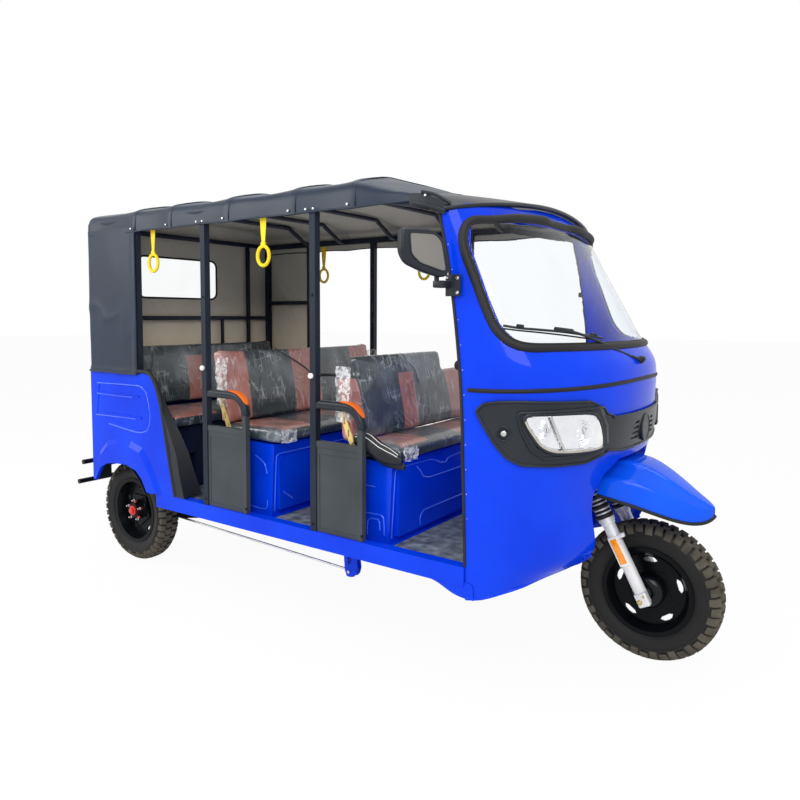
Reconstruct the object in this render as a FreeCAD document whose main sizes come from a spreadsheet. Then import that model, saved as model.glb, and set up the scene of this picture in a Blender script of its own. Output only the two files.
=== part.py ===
import FreeCAD, Part
import os
from math import atan2, ceil, cos, pi, radians, sin, sqrt, tan
import Sketcher

# Long passenger auto rickshaw: +X forward, +Y to its left, +Z up, millimetres.
# The origin lies on the ground below the middle of its bounding box.

V = FreeCAD.Vector
doc = FreeCAD.newDocument("auto_rickshaw")
sheet = doc.addObject("Spreadsheet::Sheet", "Sizes")

SIZES = [
    # Layout: distances that end in _back are measured rearwards from the front axle
    ("wheelbase", 2565), ("track", 960), ("running_gap", 6),
    ("body_width", 1296), ("body_wall", 4), ("seat_gap", 0.3),
    ("rear_wall_back", 2738), ("curtain_front_back", 2318), ("post_one_back", 1827),
    ("post_two_back", 1165), ("cab_edge_back", 455), ("floor_top", 430), ("sill_bottom", 378),
    ("sill_top", 447), ("sill_width", 46), ("floor_plate", 4), ("rail_width", 40), ("rail_depth", 60),
    ("rail_spacing", 640),
    # Wheels
    ("tyre_diameter", 540), ("tyre_width", 118), ("bead_diameter", 318), ("rim_width", 92),
    ("rim_flange", 13), ("rim_wall", 5), ("disc_wall", 6), ("hub_radius", 52), ("hub_length", 96),
    ("axle_radius", 10), ("vent_circle", 119), ("vent_count", 5), ("vent_reach", 28), ("vent_rise", 10),
    ("star_radius", 92), ("star_height", 11),
    ("bulge_height", 48), ("shoulder_inset", 26),
    # Front fork
    ("rake", 28), ("fork_offset", 45), ("leg_spacing", 196), ("leg_radius", 24), ("tube_radius", 17),
    ("boot_radius", 31), ("leg_length", 300), ("boot_length", 150), ("yoke_height", 478),
    ("yoke_thickness", 30), ("stem_radius", 14), ("head_radius", 26), ("head_length", 190),
    ("bar_height", 1128), ("bar_reach", 350), ("bar_sweep", 150), ("bar_radius", 11),
    ("grip_radius", 16), ("grip_length", 120), ("steering_stop", 35),
    ("fender_crown", 783), ("fender_wall", 4),
    # Cab
    ("cab_half_width", 640), ("cab_wall", 18), ("nose_squareness", 2.2), ("cab_top", 1765),
    ("arch_half_width", 300), ("arch_top", 800), ("arch_back", 345), ("door_flange", 5),
    ("screen_glass", 5), ("seal_proud", 5), ("seal_width", 27), ("mask_proud", 9), ("bezel_proud", 15),
    ("bezel_width", 15), ("louvre_height", 9), ("louvre_pitch", 19), ("lens_proud", 20),
    ("lamp_depth", 40), ("bulkhead_wall", 6), ("bulkhead_back", 377), ("visor_wall", 8),
    ("mirror_width", 200), ("mirror_height", 168), ("mirror_depth", 42), ("mirror_arm", 9),
    ("mirror_y", 775), ("mirror_back", 560), ("mirror_z", 1531), ("mirror_toe", 24),
    # Canopy
    ("hem_height", 1720), ("rail_height", 1770), ("shoulder_height", 1830), ("roof_height", 1872),
    ("roof_break_back", 950), ("roof_front_back", 609), ("roof_front_height", 1752),
    ("canvas", 4), ("curtain_gap", 0.4), ("post_half", 15), ("frame_half", 12), ("bow_radius", 12), ("mid_rail_height", 1301),
    ("rear_top", 1042), ("curtain_bottom", 1022), ("window_left", 347), ("window_right", 205),
    ("window_bottom", 1419), ("window_top", 1649),
    # Rear body
    ("rear_bottom", 442), ("tub_width", 235), ("tub_top", 610), ("flare_proud", 14), ("pressing", 2),
    # Seats
    ("seat_half_width", 560), ("front_back_half", 598), ("raised_right", 501), ("raised_left", 150), ("seat_box_top", 752), ("cushion_thickness", 72),
    ("front_box_back", 838), ("front_box_depth", 225), ("middle_box_back", 1478),
    ("middle_box_depth", 345), ("rear_box_back", 2190), ("rear_box_depth", 500),
    ("cushion_overhang", 45), ("backrest_thickness", 62), ("backrest_height", 330),
    ("backrest_lean", 12), ("shoulder_drop", 82), ("front_back_at", 985), ("middle_back_at", 1752), ("rear_back_at", 2560),
    ("box_wall", 5), ("box_panel", 14), ("box_recess", 2.5),
    # Guards beside the doors
    ("guard_top", 806), ("guard_panel", 18), ("guard_tube", 12), ("arm_height", 962), ("arm_bend", 78),
    ("rear_guard_length", 252), ("front_guard_length", 235), ("armpad_half", 21), ("armpad_over", 10),
    ("armpad_drop", 72), ("bracket_width", 26), ("bracket_plate", 5),
    # Running gear
    ("axle_tube", 32), ("motor_radius", 95), ("motor_length", 240), ("spring_width", 50),
    ("spring_depth", 32), ("spring_at", 370), ("spring_eye_back", 2000), ("spring_rear_back", 2700),
    ("bumper_radius", 13), ("bumper_half_width", 640), ("bumper_low_back", 2896), ("bumper_low", 402),
    ("bumper_high_back", 2850), ("bumper_high", 516),
    ("rod_radius", 6),
]


def fill_sheet():
    """Give each size a cell with a plain number and a named cell to read it by"""
    for row, (name, value) in enumerate(SIZES, start=1):
        sheet.set(f"A{row}", name)
        sheet.set(f"B{row}", str(value))
        sheet.setAlias(f"B{row}", name)
    doc.recompute()


fill_sheet()


def size(name):
    """One size of the sheet as a number"""
    return float(getattr(sheet, name))


FRONT_AXLE = "(Sizes.bumper_low_back + Sizes.bumper_radius - Sizes.tyre_diameter / 2) / 2"


def along(back):
    """The X of a place that lies this far behind the front axle"""
    length_behind = size("bumper_low_back") + size("bumper_radius")
    return (length_behind - size("tyre_diameter") / 2) / 2 - back


def value_of(expression):
    """The number that an expression on the sheet gives"""
    return float(sheet.evalExpression(str(expression)))


def post_line():
    """How far the side posts' middle lines stand from the vehicle's middle plane"""
    return size("body_width") / 2 - size("body_wall") - size("post_half") - size("seat_gap")


# Helpers for bodies with sketches

def new_body(label):
    made = doc.addObject("PartDesign::Body", label)
    made.Label = label
    return made


def place(made, x="0", y="0", z="0"):
    """Bind an object's place to the sheet"""
    for axis, expression in zip("xyz", (x, y, z)):
        made.setExpression(f"Placement.Base.{axis}", expression)


def origin_plane(body, role):
    return next(each for each in body.Origin.OriginFeatures if each.Role == role)


def outline(body, role, name, corners, lift="0"):
    """A closed sketch of straight runs, each corner bound to the sheet, lifted off its plane"""
    sketch = body.newObject("Sketcher::SketchObject", name)
    sketch.AttachmentSupport = (origin_plane(body, role), [""])
    sketch.MapMode = "FlatFace"
    sketch.setExpression("AttachmentOffset.Base.z", lift)
    points = [(value_of(u), value_of(w)) for u, w in corners]
    count = len(points)
    for index in range(count):
        start = V(*points[index], 0)
        end = V(*points[(index + 1) % count], 0)
        sketch.addGeometry(Part.LineSegment(start, end), False)
    for index in range(count):
        sketch.addConstraint(Sketcher.Constraint("Coincident", index, 2, (index + 1) % count, 1))
    for index, (u, w) in enumerate(corners):
        for kind, expression, number in (("DistanceX", u, points[index][0]),
                                         ("DistanceY", w, points[index][1])):
            which = sketch.addConstraint(Sketcher.Constraint(kind, -1, 1, index, 1, number))
            sketch.setExpression(f"Constraints[{which}]", str(expression))
    return sketch


def circle(body, role, name, u, w, radius):
    """A round sketch with its centre and radius bound to the sheet"""
    sketch = body.newObject("Sketcher::SketchObject", name)
    sketch.AttachmentSupport = (origin_plane(body, role), [""])
    sketch.MapMode = "FlatFace"
    centre = V(value_of(u), value_of(w), 0)
    sketch.addGeometry(Part.Circle(centre, V(0, 0, 1), value_of(radius)), False)
    for kind, expression, number in (("DistanceX", u, centre.x), ("DistanceY", w, centre.y)):
        which = sketch.addConstraint(Sketcher.Constraint(kind, -1, 1, 0, 3, number))
        sketch.setExpression(f"Constraints[{which}]", str(expression))
    which = sketch.addConstraint(Sketcher.Constraint("Radius", 0, value_of(radius)))
    sketch.setExpression(f"Constraints[{which}]", str(radius))
    return sketch


def pad(body, sketch, name, length):
    """A pad to both sides of its sketch"""
    made = body.newObject("PartDesign::Pad", name)
    made.Profile = sketch
    made.SideType = "Symmetric"
    made.setExpression("Length", str(length))
    sketch.Visibility = False
    return made


def pocket(body, sketch, name, length):
    """A pocket to both sides of its sketch"""
    made = body.newObject("PartDesign::Pocket", name)
    made.Profile = sketch
    made.SideType = "Symmetric"
    made.setExpression("Length", str(length))
    return made


def revolve(body, sketch, name, axis="H_Axis"):
    made = body.newObject("PartDesign::Revolution", name)
    made.Profile = sketch
    made.ReferenceAxis = (sketch, [axis])
    made.Angle = 360
    return made


# Helpers for shapes made by Part's own functions

def feature(label, shape, x=0, y=0, z=0):
    """A sub-part whose shape is worked out below from the sheet"""
    made = doc.addObject("Part::Feature", label)
    made.Label = label
    made.Shape = shape
    made.Placement = FreeCAD.Placement(V(x, y, z), FreeCAD.Rotation())
    return made


def block(x0, x1, y0, y1, z0, z1):
    """A box between two corners"""
    low = V(min(x0, x1), min(y0, y1), min(z0, z1))
    return Part.makeBox(abs(x1 - x0), abs(y1 - y0), abs(z1 - z0), low)


def rod(start, end, radius):
    """A straight round bar between two points"""
    run = end - start
    return Part.makeCylinder(radius, run.Length, start, run)


def bar(x, y, z, half):
    """A square bar along one axis: two of the three places are single values, one is a (start, end) pair"""
    spans = [place if isinstance(place, tuple) else (place - half, place + half) for place in (x, y, z)]
    return block(*spans[0], *spans[1], *spans[2])


def bent(points, radius, bend):
    """A round bar along straight runs joined by arcs of one bend radius"""
    edges = []
    last = points[0]
    for before, corner, after in zip(points, points[1:], points[2:]):
        into = (corner - before).normalize()
        out = (after - corner).normalize()
        half = into.getAngle(out) / 2
        reach = bend * tan(half)
        start = corner - into * reach
        end = corner + out * reach
        inward = (out - into).normalize()
        middle = corner + inward * (bend / cos(half) - bend)
        edges.append(Part.LineSegment(last, start).toShape())
        edges.append(Part.Arc(start, middle, end).toShape())
        last = end
    edges.append(Part.LineSegment(last, points[-1]).toShape())
    path = Part.Wire(edges)
    first = (points[1] - points[0]).normalize()
    ring = Part.Wire(Part.Circle(points[0], first, radius).toShape())
    return path.makePipeShell([ring], True, False)


def fused(shapes):
    """One solid out of pieces that meet"""
    whole = shapes[0].fuse(shapes[1:]) if len(shapes) > 1 else shapes[0]
    return whole.removeSplitter()


def side_prism(points, half_width):
    """A slab across the vehicle with this outline seen from its side, points as (x, z)"""
    corners = [V(x, -half_width, z) for x, z in points]
    face = Part.Face(Part.makePolygon(corners + corners[:1]))
    return face.extrude(V(0, 2 * half_width, 0))


def front_prism(points, x0, x1):
    """A slab along the vehicle with this outline seen from its front, points as (y, z)"""
    corners = [V(x0, y, z) for y, z in points]
    face = Part.Face(Part.makePolygon(corners + corners[:1]))
    return face.extrude(V(x1 - x0, 0, 0))


def both_sides(shape):
    """A shape and its mirror image on the other side of the vehicle"""
    return [shape, shape.mirror(V(0, 0, 0), V(0, 1, 0))]


# Cab: a nose with superelliptic plan sections, so every piece of its skin shares one surface

# Height of each plan section, how far its door edge and its nose lie behind the front axle
CAB_STATIONS = [
    (300, 452, 200), (450, 455, 110), (600, 460, 98), (700, 463, 92), (800, 467, 66),
    (900, 470, 48), (1000, 474, 42), (1095, 480, 40), (1150, 485, 50), (1185, 489, 72),
    (1230, 494, 106), (1350, 509, 184), (1470, 527, 262), (1600, 554, 347), (1715, 580, 420),
    (1790, 596, 440),
]
SECTION_STEPS = 12


def section(height, door_back, nose_back, grow, extend):
    """One plan section: the nose's curve from side to side, closed straight across behind it"""
    power = 2 / size("nose_squareness")
    half_width = size("cab_half_width") + grow
    door = along(door_back)
    reach = door_back - nose_back + grow
    points = []
    for step in range(-SECTION_STEPS, SECTION_STEPS + 1):
        turn = pi / 2 * step / SECTION_STEPS
        sideways = half_width * (1 if turn > 0 else -1) * abs(sin(turn)) ** power
        points.append(V(door + reach * abs(cos(turn)) ** power, sideways, height))
    curve = Part.BSplineCurve()
    curve.interpolate(points)
    edges = [curve.toShape()]
    corners = [points[-1], V(door - extend, half_width, height),
               V(door - extend, -half_width, height), points[0]]
    for start, end in zip(corners, corners[1:]):
        if start.distanceToPoint(end) > 0.01:
            edges.append(Part.LineSegment(start, end).toShape())
    return Part.Wire(edges)


NOSES = {}


def nose(grow, extend):
    """The solid nose, grown outwards or shrunk by a distance and lengthened behind its door edge"""
    if (grow, extend) not in NOSES:
        wires = [section(z, door, tip, grow, extend) for z, door, tip in CAB_STATIONS]
        NOSES[grow, extend] = Part.makeLoft(wires, True, False)
    return NOSES[grow, extend]


def behind_door_edge():
    """Everything behind the cab's door edge, which leans back towards the roof"""
    edge = Part.BSplineCurve()
    half = size("body_width")
    points = [V(along(door_back + size("door_flange")), -half, height) for height, door_back, tip in CAB_STATIONS]
    edge.interpolate(points)
    far = along(size("wheelbase"))
    corners = [points[-1], V(far, -half, points[-1].z), V(far, -half, points[0].z), points[0]]
    edges = [edge.toShape()] + [Part.LineSegment(a, b).toShape() for a, b in zip(corners, corners[1:])]
    return Part.Face(Part.Wire(edges)).extrude(V(0, 2 * half, 0))


def skin(outside, inside):
    """The nose's shell between two distances from its surface, open behind"""
    return nose(outside, 60).cut(nose(inside, 90)).cut(behind_door_edge())


def glass_outline(grow):
    """Windscreen outline seen from the side, in distances behind the axle and heights"""
    points = [(487, 1640), (422, 1656), (396, 1680), (-300, 1680), (-300, 1226), (243, 1226),
              (294, 1232), (323, 1246), (349, 1271), (369, 1298), (406, 1381), (438, 1464),
              (476, 1558)]
    middle_back, middle_z = 330, 1440
    moved = []
    for back, z in points:
        if back < 0:
            moved.append((along(back), z + (grow if z > middle_z else -grow)))
            continue
        away_back = back - middle_back
        away_z = z - middle_z
        sideways = grow if away_back > 40 or away_z < 0 else 0
        lean = 0.85 if back > 300 and z < 1640 else 0
        up = grow if z > 1600 else (-grow if z < 1260 else 0)
        moved.append((along(back + sideways * max(lean, 0.6 if back > 290 else 0)), z + up))
    return moved


def lamp_outline(grow):
    """Headlamp lens outline seen from the side"""
    points = [(270 + grow, 984 + grow), (104 - grow, 993 + grow), (92 - grow, 943),
              (93 - grow, 877), (106, 868 - grow), (204 + grow / 2, 860 - grow),
              (231 + grow, 882 - grow / 2), (258 + grow, 938)]
    return [(along(back), z) for back, z in points]


def mask_outline():
    """Outline of the dark band round lamps and grille seen from the side"""
    points = [(421, 1000), (393, 1026), (340, 1034), (279, 1036), (117, 1031), (97, 1012),
              (83, 980), (70, 966), (-100, 966), (-100, 838), (61, 838), (84, 852), (94, 836),
              (124, 818), (199, 817), (277, 823), (318, 846), (357, 893), (399, 960)]
    return [(along(back), z) for back, z in points]


def arch_form(grow):
    """Space of the front wheel seen from the front, open below"""
    half = size("arch_half_width") + grow
    top = size("arch_top") + grow
    floor = 200
    points = [(-half, floor), (-half, top - 120), (-half + 40, top - 45), (-half + 120, top),
              (half - 120, top), (half - 40, top - 45), (half, top - 120), (half, floor)]
    return front_prism(points, along(size("arch_back") + (32 if grow else 0)), along(-100))


def arch_cutter():
    return arch_form(0)


def lower_edge_cutter():
    """Everything below the cab's rising lower edge"""
    points = [(700, 100), (700, 336), (430, 336), (124, 446), (-200, 560), (-200, 100)]
    return side_prism([(along(back), z) for back, z in points], 900)


def cab_shell():
    shell = skin(0, -size("cab_wall"))
    seal_hole = side_prism(glass_outline(0.3), 800)
    shell = shell.cut(seal_hole)
    shell = shell.cut(side_prism(lamp_outline(2), 800).common(block(along(600), along(-200), -900, 900, 800, 1000)))
    shell = shell.cut(arch_cutter())
    shell = shell.cut(lower_edge_cutter())
    shell = shell.cut(peak(-size("seat_gap"), 300))
    shell = shell.cut(block(along(900), along(-300), -900, 900, size("cab_top"), 1900))
    return feature("cab_shell", shell)


def windscreen_glass():
    sheet_of_glass = skin(-2, -2 - size("screen_glass"))
    pane = sheet_of_glass.common(side_prism(glass_outline(0), 800))
    return feature("windscreen_glass", pane)


def windscreen_seal():
    band = skin(size("seal_proud"), 0.3)
    band = band.common(side_prism(glass_outline(size("seal_width")), 800))
    band = band.cut(side_prism(glass_outline(0), 800))
    band = band.cut(block(along(900), along(-300), -900, 900, size("roof_front_height") - 8, 1900))
    return feature("windscreen_seal", band)


def front_mask():
    """Dark band with a raised bezel round each lamp, louvres beside a blank disc, and a round recess at each end"""
    proud = size("mask_proud")
    band = skin(proud, 0.3).common(side_prism(mask_outline(), 800))
    bezel = skin(size("bezel_proud"), 0.3).common(side_prism(lamp_outline(size("bezel_width")), 800))
    disc = Part.makeCylinder(54, 40, V(along(74), 0, 901), V(1, 0, 0)).cut(nose(0.3, 60))
    mask = fused([band, bezel, disc]).cut(side_prism(lamp_outline(0), 800))
    cutters = []
    for sign in (-1, 1):
        for step in range(4):
            z = 868 + step * size("louvre_pitch")
            cutters.append(block(along(200), along(-100), sign * 72, sign * (140 - 8 * step), z,
                                 z + size("louvre_height")))
        cutters.append(Part.makeCylinder(22, 200, V(along(330), sign * 500, 928), V(0, sign, 0)))
    pockets = Part.makeCompound(cutters).common(nose(proud + 3, 60)).cut(nose(proud - 5, 90))
    return feature("front_mask", mask.cut(pockets))


def headlamps():
    lens = skin(size("lens_proud"), -size("lamp_depth")).common(side_prism(lamp_outline(-1), 800))
    near = lens.common(block(along(600), along(-200), -900, -300, 800, 1100))
    far = lens.common(block(along(600), along(-200), 300, 900, 800, 1100))
    return feature("headlamps", Part.makeCompound(near.Solids[:1] + far.Solids[:1]))


def wheel_house():
    """Liner of the front wheel's arch, from the nose back to the bulkhead, round the steering head"""
    liner = arch_form(size("body_wall")).cut(arch_form(size("seat_gap")))
    liner = liner.common(nose(-size("cab_wall") - size("seat_gap"), 60)).cut(lower_edge_cutter())
    foot = size("bulkhead_back") - size("seat_gap")
    behind = side_prism([(along(back), z) for back, z in ((foot, 100), (foot, 800), (foot - 3, 806), (600, 806),
                                                          (600, 100))], 900)
    member_front = along(size("bulkhead_back") - 14) + 20 + size("seat_gap")
    inner = size("arch_half_width") - 2
    space = block(along(500), along(size("arch_back") + 0.5), -inner, inner, 100, size("arch_top") - 2)
    for cutter in (behind, space, block(along(500), member_front, -400, 400, 300, size("floor_top"))):
        liner = liner.cut(cutter)
    return feature("wheel_house", liner.cut(steering_line(300, 900, size("head_radius") + size("seat_gap"))))


def front_bulkhead():
    """Inner panel between the driver's feet and the front wheel, up to the dash shelf"""
    wall = size("bulkhead_wall")
    floor = size("floor_top")
    foot = size("bulkhead_back")
    line = [(foot, floor + size("seat_gap")), (foot, 800), (300, 960), (180, 1075)]
    outer = [(along(back), z) for back, z in line]
    inner = [(along(back + wall), z) for back, z in reversed(line[:-1])]
    inner = [(along(180 + 2 * wall), 1075)] + inner
    panel = side_prism(outer + inner, 610)
    panel = panel.common(nose(-size("cab_wall") - size("seat_gap"), 60))
    column = steering_line(-200, 900, size("head_radius") + size("running_gap"))
    return feature("front_bulkhead", panel.cut(column))


def peak(low, high):
    """The peak's form between two heights above its underside, from the roof's edge to its lip"""
    stations = [(0, 424, 1747), (150, 427, 1741), (300, 436, 1726), (450, 458, 1709),
                (550, 488, 1696), (615, 520, 1687), (648, 560, 1682)]
    rear_back = size("roof_front_back") + 20
    front_z = size("roof_front_height")
    solids = []
    for sign in (-1, 1):
        for (y0, b0, z0), (y1, b1, z1) in zip(stations, stations[1:]):
            wires = []
            for y, back, z in ((y0, b0, z0), (y1, b1, z1)):
                drop = 50 * (y / 648) ** 4
                rear_z = front_z + 8 - drop
                corners = [V(along(back), sign * y, z - 8 + high), V(along(rear_back), sign * y, rear_z + high),
                           V(along(rear_back), sign * y, rear_z + low), V(along(back), sign * y, z - 8 + low)]
                wires.append(Part.makePolygon(corners + corners[:1]))
            solids.append(Part.makeLoft(wires, True, True))
    return fused(solids)


def visor():
    """Dark peak over the windscreen"""
    return feature("visor", peak(0, size("visor_wall")))


def mirrors():
    """A mirror on each side: rounded housing, and the arm that clamps to the windscreen post"""
    width = size("mirror_width")
    height = size("mirror_height")
    depth = size("mirror_depth")
    x = along(size("mirror_back"))
    y = -size("mirror_y")
    z = size("mirror_z")
    housing = block(x - depth / 2, x + depth / 2, y - width / 2, y + width / 2, z - height / 2, z + height / 2)
    housing = housing.makeFillet(28, [edge for edge in housing.Edges if is_along_x(edge)])
    housing = housing.makeFillet(12, [edge for edge in housing.Edges
                                      if edge.CenterOfMass.x > x + depth / 2 - 0.1])
    housing.rotate(V(x, y, z), V(0, 0, 1), -size("mirror_toe"))
    foot = along(500)
    side = -size("cab_half_width") - size("seat_gap")
    arm = bent([V(foot, side - 6, 1440), V(foot - 6, side - 38, 1446), V(foot - 52, side - 66, z - 50)],
               size("mirror_arm"), 12)
    pad_plate = block(foot - 40, foot + 22, side - 16, side, 1385, 1460)
    return feature("mirrors", Part.makeCompound(both_sides(fused([housing, arm, pad_plate]))))


def is_along_x(edge):
    direction = edge.tangentAt(edge.FirstParameter)
    return abs(abs(direction.x) - 1) < 0.001


def wiper():
    spindle = rod(V(along(49.3), -42, 1152), V(along(22), -42, 1158), 9)
    arm = bent([V(along(26), -42, 1156), V(along(40), -160, 1205), V(along(90), -340, 1262)], 4, 40)
    return feature("wiper", Part.makeCompound([spindle.fuse(arm)]))


# Underside, floor and frame

def rear_of_floor():
    return along(size("rear_wall_back")) + size("body_wall")


def floor_pan():
    """Floor plate between two box sills, narrowed between the rear wheels"""
    half = size("body_width") / 2
    inner = half - size("sill_width")
    top = size("floor_top")
    rear = rear_of_floor() + 1
    front = along(size("cab_edge_back") + size("door_flange") + 1)
    tub = half - size("tub_width")
    arch_front = along(2195)
    plate = block(arch_front, along(size("bulkhead_back")), -inner, inner, top - size("floor_plate"), top)
    plate = plate.fuse(block(rear, arch_front, -tub, tub, top - size("floor_plate"), top))
    sills = []
    for sign in (-1, 1):
        sill = block(arch_front, front, sign * inner, sign * half, size("sill_bottom"), size("sill_top"))
        sills.append(sill)
    body = fused([plate] + sills)
    cab = nose(-size("cab_wall") - 1, 60)
    front_cut = block(front, along(0), -half, half, 300, 500).cut(cab)
    return feature("floor_pan", body.cut(front_cut))


def chassis_frame():
    """Two rails and their cross members under the floor, and the steering head"""
    width = size("rail_width")
    depth = size("rail_depth")
    top = size("floor_top") - size("floor_plate") - size("seat_gap")
    rear = rear_of_floor() + 4
    front = along(size("bulkhead_back") - 34)
    pieces = []
    for sign in (-1, 1):
        y = sign * size("rail_spacing") / 2
        pieces.append(block(rear, front, y - width / 2, y + width / 2, top - depth, top))
    reach = size("rail_spacing") / 2
    for back in (2700, 2200, 1640, 1000, size("bulkhead_back") - 14):
        x = along(back)
        pieces.append(block(x - 20, x + 20, -reach, reach, top - depth + 10, top))
    head = steering_line(size("yoke_height") + 30, size("yoke_height") + 30 + size("head_length"), size("head_radius"))
    centre = steering_point(size("yoke_height") + 30 + size("head_length") / 2)
    neck = block(along(size("bulkhead_back") - 6), along(size("bulkhead_back") - 34), -22, 22, top - 10, centre.z)
    pieces += [head, neck]
    frame = fused(pieces)
    bore = steering_line(size("yoke_height"), size("yoke_height") + size("head_length") + 70, size("stem_radius") + size("running_gap"))
    return feature("chassis_frame", frame.cut(bore))


def rear_quarter(sign, label):
    """Side panel behind the rear door: skin with the wheel arch and its flare, and the inner tub"""
    half = size("body_width") / 2
    wall = size("body_wall")
    rear = along(size("rear_wall_back"))
    top = size("rear_top")
    outline_points = [(rear, size("rear_bottom")), (rear, top), (along(2225), top), (along(2196), 1010),
                      (along(2150), 890), (along(2066), 730), (along(2010), 560), (along(1975), size("sill_top") + size("seat_gap")),
                      (along(2195) - 0.5, size("sill_top") + size("seat_gap")),
                      (along(2195) - 0.5, size("rear_bottom"))]
    skin_slab = side_slab(outline_points, sign, half - wall, half)
    arch = [(along(2850), 300), (along(2700), 442), (along(2645), 520), (along(2593), 545),
            (along(2524), 555), (along(2419), 560), (along(2337), 540), (along(2292), 503),
            (along(2246), 432), (along(2190), 360), (along(2160), 300)]
    flare = [(along(2737), 400), (along(2721), 460), (along(2668), 600), (along(2601), 660),
             (along(2512), 682), (along(2390), 683), (along(2298), 658), (along(2242), 601),
             (along(2200), 540), (along(2150), 449), (along(2150), 400)]
    flare_slab = swelling(flare, sign, half - wall, half, size("flare_proud"))
    arch_cut = side_slab(arch, sign, half - 80, half + 80)
    tub_inner = half - size("tub_width")
    roof = [(rear + wall + 0.3, size("tub_top")), (along(2270), size("tub_top")), (along(2192), 448.5),
            (along(2198), 448.5), (along(2275), size("tub_top") - 5), (rear + wall + 0.3, size("tub_top") - 5)]
    tub_roof = side_slab(roof, sign, tub_inner, half - wall)
    cheek = side_slab([(rear + wall + 0.3, 430.5), (rear + wall + 0.3, size("tub_top")),
                       (along(2270), size("tub_top")), (along(2192), 448.5), (along(2192), 430.5)],
                      sign, tub_inner, tub_inner + wall)
    recess = [(2688, 795), (2660, 964), (2312, 967), (2256, 940), (2226, 824), (2240, 767), (2286, 742)]
    skin_slab = skin_slab.cut(side_slab([(along(back), z) for back, z in recess], sign, half - size("pressing"),
                                        half + 1))
    for rib_back, rib_z in ((2320, 912), (2300, 806)):
        rib = side_slab([(along(2640), rib_z - 5), (along(2640), rib_z + 5), (along(rib_back), rib_z + 5),
                         (along(rib_back), rib_z - 5)], sign, half - wall, half + size("pressing"))
        skin_slab = skin_slab.fuse(rib)
    panel = fused([skin_slab, flare_slab]).cut(arch_cut)
    panel = panel.cut(block(along(3000), along(1800), -900, 900, 200, size("rear_bottom")))
    panel = panel.cut(block(along(2195) - size("seat_gap"), along(1800), -900, 900, 200,
                            size("sill_top") + size("seat_gap")))
    panel = fused([panel, tub_roof, cheek])
    return feature(label, panel)


def side_face(points, y):
    """A flat wire seen from the side, at one distance from the middle plane"""
    corners = [V(x, y, z) for x, z in points]
    return Part.makePolygon(corners + corners[:1])


def side_slab(points, sign, y0, y1):
    """A slab between two distances from the middle plane, seen from the side as this outline"""
    return Part.Face(side_face(points, sign * y0)).extrude(V(0, sign * (y1 - y0), 0))


def swelling(points, sign, y0, y1, proud):
    """A slab whose outer part narrows on its way out, as a pressed flare does"""
    middle_x = sum(x for x, z in points) / len(points)
    middle_z = min(z for x, z in points)
    narrowed = []
    for x, z in points:
        run = sqrt((x - middle_x) ** 2 + (z - middle_z) ** 2)
        share = (run - 2 * proud) / run
        narrowed.append((middle_x + (x - middle_x) * share, middle_z + (z - middle_z) * share))
    slope = Part.makeLoft([side_face(points, sign * y1), side_face(narrowed, sign * (y1 + proud))], True, True)
    return side_slab(points, sign, y0, y1).fuse(slope)


def rear_panel():
    """Rear wall below the curtain, with a shallow pressing and notches for the rear tyres"""
    half = size("body_width") / 2
    wall = size("body_wall")
    rear = along(size("rear_wall_back"))
    inner = half - wall - 0.3
    panel = block(rear, rear + wall, -inner, inner, size("rear_bottom"), size("rear_top"))
    panel = panel.cut(block(rear - 1, rear + 1, -430, 430, 640, 960))
    notch_reach = size("tyre_width") / 2 + 2 * size("running_gap")
    for sign in (-1, 1):
        middle = sign * size("track") / 2
        panel = panel.cut(block(rear - 5, rear + 10, middle - notch_reach, middle + notch_reach, 300, 500))
    return feature("rear_panel", panel)


def rear_bumper():
    """Two cross bars behind the rear wall, on arms from the rails"""
    radius = size("bumper_radius")
    reach = size("bumper_half_width")
    low = V(along(size("bumper_low_back")), 0, size("bumper_low"))
    high = V(along(size("bumper_high_back")), 0, size("bumper_high"))
    across = V(0, reach, 0)
    pieces = [rod(low - across, low + across, radius), rod(high - across, high + across, radius)]
    rail_end = rear_of_floor() + 4
    for sign in (-1, 1):
        side = V(0, sign * size("rail_spacing") / 2, 0)
        pieces.append(rod(low + side, high + side, radius - 1))
        pieces.append(rod(low + side, V(rail_end - size("seat_gap"), side.y, size("bumper_low")), radius - 1))
    return feature("rear_bumper", fused(pieces))


def rear_lamps():
    rear = along(size("rear_wall_back"))
    lamp = block(rear - 26, rear - 0.3, 470, 590, 700, 900)
    lamp = lamp.makeFillet(14, [edge for edge in lamp.Edges if abs(edge.CenterOfMass.x - (rear - 26)) < 0.1])
    return feature("rear_lamps", Part.makeCompound(both_sides(lamp)))


# Canopy

def side_frame(sign, label):
    """Top rail of one side with its square posts down to the sill"""
    y = sign * post_line()
    half = size("post_half")
    top = size("rail_height")
    rear = along(size("rear_wall_back")) + size("body_wall") + half + 2
    turn = along(size("roof_break_back") - 20)
    front = along(634)
    dip = 62
    rail = side_slab([(rear - half, top - half), (rear - half, top + half), (turn, top + half),
                      (front, top + half - dip), (front, top - half - dip), (turn, top - half)],
                     sign, abs(y) - half, abs(y) + half)
    pieces = [rail]
    for back in (size("post_one_back"), size("post_two_back")):
        pieces.append(bar(along(back), y, (size("sill_top") + size("seat_gap"), top), half))
    door_post = along(size("curtain_front_back") + 20)
    pieces.append(bar(door_post, y, (size("tub_top") + 0.5, top), half))
    middle = size("mid_rail_height") + 100
    pieces.append(bar((rear + half + size("seat_gap"), door_post), y, middle, size("frame_half")))
    return feature(label, fused(pieces))


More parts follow.
